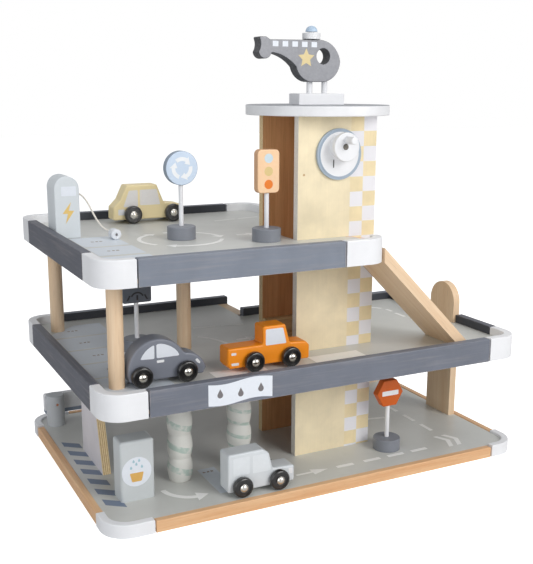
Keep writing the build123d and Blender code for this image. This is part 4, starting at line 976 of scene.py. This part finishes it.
def printSmallMarks():
    # a dark strip on the crank disc: painted shade in its slot
    printFront("crankSlitShade", [rectangle(*smallMarksAndShade["crankSlitShade"])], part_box("crank_disc")[0].y, slitShadeInk,
               "crank")
    printFront("towerPlug", [disc(*smallMarksAndShade["towerPlug"])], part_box("tower_front_panel")[0].y, plugInk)
    dial = smallMarksAndShade["dial"]
    low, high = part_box("square_sign_head")
    middle, foot = (low.x + high.x) / 2 / mm, low.z / mm + dial["above"]
    strokes = [arcBand(middle, foot, dial["radius"], dial["width"], dial["start"], dial["end"])]
    for side in (-1, 0, 1):
        x = middle + dial["spread"] * side
        tip = x - dial["lean"] * side
        strokes.append([(x - 1.0, foot + dial["low"]), (x + 1.0, foot + dial["low"]),
                        (tip + 1.0, foot + dial["high"]), (tip - 1.0, foot + dial["high"])])
    printFront("squareSignStrokes", strokes, low.y, ink("signBlack", dial["tint"]),
               "square_sign")
    dot, hole = smallMarksAndShade["postDot"], smallMarksAndShade["nozzleHoleShade"]
    low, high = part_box("barrier_post")
    printFront("postDot", [disc((low.x + high.x) / 2 / mm, dot["z"], dot["radius"], dot["sides"])], low.y,
               ink("copperDot", dot["tint"]))
    # a grey disc on the nozzle's front: painted shade inside its hole
    low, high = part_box("charger_nozzle")
    middle = (low + high) / 2
    printFront("nozzleHoleShade", [disc(middle.x / mm, middle.z / mm, hole["radius"], hole["sides"])], low.y,
               markAndHoleShadeInk)


printSmallThings()
printWashLabel()
printSmallMarks()
print("small prints done")

# the lift cord: a twisted strand that reaches up to the spool, built where the model's cord stands
def deselectAll():
    bpy.ops.object.select_all(action="DESELECT")


def applyPlace():
    bpy.ops.object.transform_apply(location=True, rotation=True, scale=True)


def applyModifier(piece, kind, **settings):
    modifier = piece.modifiers.new(kind.lower(), kind)
    for key, value in settings.items():
        setattr(modifier, key, value)
    bpy.ops.object.modifier_apply(modifier=modifier.name)


liftCord = {"steps": 40, "sides": 12, "twist": 1.6, "cotton": colour(232, 224, 210)}


def makeLiftCord():
    low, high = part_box("lift_cord")
    radius = (high.x - low.x) / 2
    foot = Vector(((low.x + high.x) / 2, (low.y + high.y) / 2, low.z))
    deselectAll()
    bpy.ops.mesh.primitive_circle_add(vertices=liftCord["sides"], radius=radius, fill_type="NGON",
                                      location=foot)
    piece = bpy.context.view_layer.objects.active
    piece.name = "liftCordStrand"
    bpy.ops.object.mode_set(mode="EDIT")
    bpy.ops.mesh.select_all(action="SELECT")
    for _ in range(liftCord["steps"]):
        bpy.ops.mesh.extrude_region_move(
            TRANSFORM_OT_translate={"value": (0, 0, (high.z - low.z) / liftCord["steps"])})
    bpy.ops.mesh.select_all(action="SELECT")
    bpy.ops.mesh.normals_make_consistent(inside=False)
    bpy.ops.object.mode_set(mode="OBJECT")
    applyPlace()
    bpy.ops.object.shade_smooth_by_angle(angle=math.radians(50))
    paintPiece(piece, twistedCord("liftCotton", liftCord["cotton"]))
    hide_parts("lift_cord")
    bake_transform(piece)


makeLiftCord()
print("lift cord made")

# the crank's screw and handle, the stop sign's head and the cord wound on the spool
screw = {"colour": colour(128, 124, 118), "place": (40.5, 359.0), "radius": 3.2, "height": 0.7, "sides": 48,
         "rim": 0.25, "sunk": 0.05, "slotSize": (8, 0.7, 0.8), "slotTurn": 40}
handle = {"place": (42.3, 366.1), "radius": 4.1, "length": 15.3, "rounding": 0.9, "sides": 48}
winding = {"turns": 8, "cordRadius": 0.9, "spoolRadius": 8.0, "first": -47.4, "pitch": 1.95, "x": 42.5,
           "z": 350.4}
stopHead = {"radius": 17.6, "thickness": 9.5, "rounding": 0.8}  # six sides, as the photograph shows
smoothAngle = math.radians(35)
sideways = (math.radians(90), 0, 0)


def brushedSteel(name):
    material, tree, shader = newMaterial(name)
    scratches = noise(tree, objectPoint(tree, (60, 60, 900)), 4.0, 4)
    tone = blendColour(tree, scratches, shade(screw["colour"], 0.8), screw["colour"])
    tree.links.new(tone, shader.inputs["Base Color"])
    rough = calc(tree, "ADD", calc(tree, "MULTIPLY", scratches, 0.2), 0.45)
    tree.links.new(rough, shader.inputs["Roughness"])
    shader.inputs["Metallic"].default_value = 1.0
    return material


def makeKnobScrew():
    deselectAll()
    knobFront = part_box("crank_knob")[0].y
    x, z = (c * mm for c in screw["place"])
    height = screw["height"] * mm
    bpy.ops.mesh.primitive_cylinder_add(vertices=screw["sides"], radius=screw["radius"] * mm, depth=height,
                                        location=(x, knobFront - height / 2 + screw["sunk"] * mm, z),
                                        rotation=sideways)
    head = bpy.context.active_object
    head.name = "knobScrew"
    applyModifier(head, "BEVEL", width=screw["rim"] * mm, segments=3)
    applyPlace()
    bpy.ops.mesh.primitive_cube_add(size=1, location=(x, knobFront - height, z),
                                    rotation=(0, math.radians(screw["slotTurn"]), 0))
    cutter = bpy.context.active_object
    cutter.scale = [c * mm for c in screw["slotSize"]]
    applyPlace()
    deselectAll()
    head.select_set(True)
    bpy.context.view_layer.objects.active = head
    applyModifier(head, "BOOLEAN", object=cutter)
    bpy.data.objects.remove(cutter)
    paintPiece(head, brushedSteel("screwSteel"))
    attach(head, "crank")


def makeHandlePeg():
    deselectAll()
    x, z = (c * mm for c in handle["place"])
    length = handle["length"] * mm
    bpy.ops.mesh.primitive_cylinder_add(vertices=handle["sides"], radius=handle["radius"] * mm, depth=length,
                                        location=(x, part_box("crank_knob")[0].y - length / 2, z),
                                        rotation=sideways)
    peg = bpy.context.active_object
    peg.name = "crankHandlePeg"
    applyPlace()
    applyModifier(peg, "BEVEL", width=handle["rounding"] * mm, segments=4, limit_method="ANGLE")
    bpy.ops.object.shade_smooth_by_angle(angle=smoothAngle)
    paintPiece(peg, paintedWood("pegWhite", paints["white"], "Y", strength=0.02, rough=0.38))
    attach(peg, "crank")


def makeStopHead():
    deselectAll()
    low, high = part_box("stop_sign_head")
    radius = stopHead["radius"] * mm
    place = ((low.x + high.x) / 2, (low.y + high.y) / 2, low.z + radius * math.cos(math.radians(30)))
    bpy.ops.mesh.primitive_cylinder_add(vertices=6, radius=radius, depth=stopHead["thickness"] * mm,
                                        location=place, rotation=(math.radians(90), math.radians(30), 0))
    head = bpy.context.active_object
    head.name = "stopSignHexagon"
    applyPlace()
    applyModifier(head, "BEVEL", width=stopHead["rounding"] * mm, segments=3)
    bpy.ops.object.shade_smooth_by_angle(angle=smoothAngle)
    paintPiece(head, paintedWood("stopHexagonPaint", paints["orange"], "Z", strength=0.05))
    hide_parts("stop_sign_head")
    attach(head, "stop_sign")


def windCord():
    cotton = braidedCotton("windingCotton", chargerCord["cotton"])
    for turn in range(winding["turns"]):
        deselectAll()
        place = (winding["x"], winding["first"] + turn * winding["pitch"], winding["z"])
        bpy.ops.mesh.primitive_torus_add(
            major_radius=(winding["spoolRadius"] + winding["cordRadius"]) * mm,
            minor_radius=winding["cordRadius"] * mm, major_segments=48, minor_segments=10,
            location=[c * mm for c in place], rotation=sideways)
        ring = bpy.context.active_object
        ring.name = f"cordTurn{turn + 1}"
        applyPlace()
        bpy.ops.object.shade_smooth()
        paintPiece(ring, cotton)
        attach(ring, "crank")


makeKnobScrew()
makeHandlePeg()
makeStopHead()
windCord()
print("screw, handle, stop head and winding done")

# floor and background
studio = {"floorSize": 14, "floorTint": (0.8, 0.8, 0.8, 1), "floorRough": 0.9, "floorGlow": 0.82,
          "dimTint": (0.97, 0.98, 1, 1), "dimStrength": 0.32, "glossShare": 0.45}
bpy.ops.mesh.primitive_plane_add(size=studio["floorSize"], location=(0, 0, 0))
floor = bpy.context.active_object
floor.name = "studioFloor"
floorMaterial, floorTree, floorShader = newMaterial("studioFloor")
floorShader.inputs["Base Color"].default_value = studio["floorTint"]
floorShader.inputs["Roughness"].default_value = studio["floorRough"]
glow = addNode(floorTree, "Emission", {"Color": (1, 1, 1, 1), "Strength": studio["floorGlow"]})
seen = addNode(floorTree, "LightPath").outputs["Is Camera Ray"]
noLight = addNode(floorTree, "Emission", {"Color": (0, 0, 0, 1), "Strength": 0.0})
extra = addNode(floorTree, "MixShader", {0: seen, 1: noLight.outputs[0], 2: glow.outputs[0]})
both = addNode(floorTree, "AddShader", {0: floorShader.outputs[0], 1: extra.outputs[0]})
floorTree.links.new(both.outputs[0], floorTree.nodes["Material Output"].inputs["Surface"])
floor.data.materials.append(floorMaterial)

world = bpy.data.worlds.new("studioWorld")
bpy.context.scene.world = world
world.use_nodes = True
worldTree = world.node_tree
dim = worldTree.nodes["Background"]
dim.inputs["Color"].default_value = studio["dimTint"]
dim.inputs["Strength"].default_value = studio["dimStrength"]
bright = addNode(worldTree, "Background", {"Color": (1, 1, 1, 1), "Strength": 1.0})
rays = addNode(worldTree, "LightPath")
glossy = calc(worldTree, "MULTIPLY", rays.outputs["Is Glossy Ray"], studio["glossShare"])
shiny = calc(worldTree, "MAXIMUM", rays.outputs["Is Camera Ray"],
             calc(worldTree, "MAXIMUM", glossy, rays.outputs["Is Transmission Ray"]))
mixed = addNode(worldTree, "MixShader", {0: shiny, 1: dim.outputs[0], 2: bright.outputs[0]})
worldTree.links.new(mixed.outputs[0], worldTree.nodes["World Output"].inputs["Surface"])
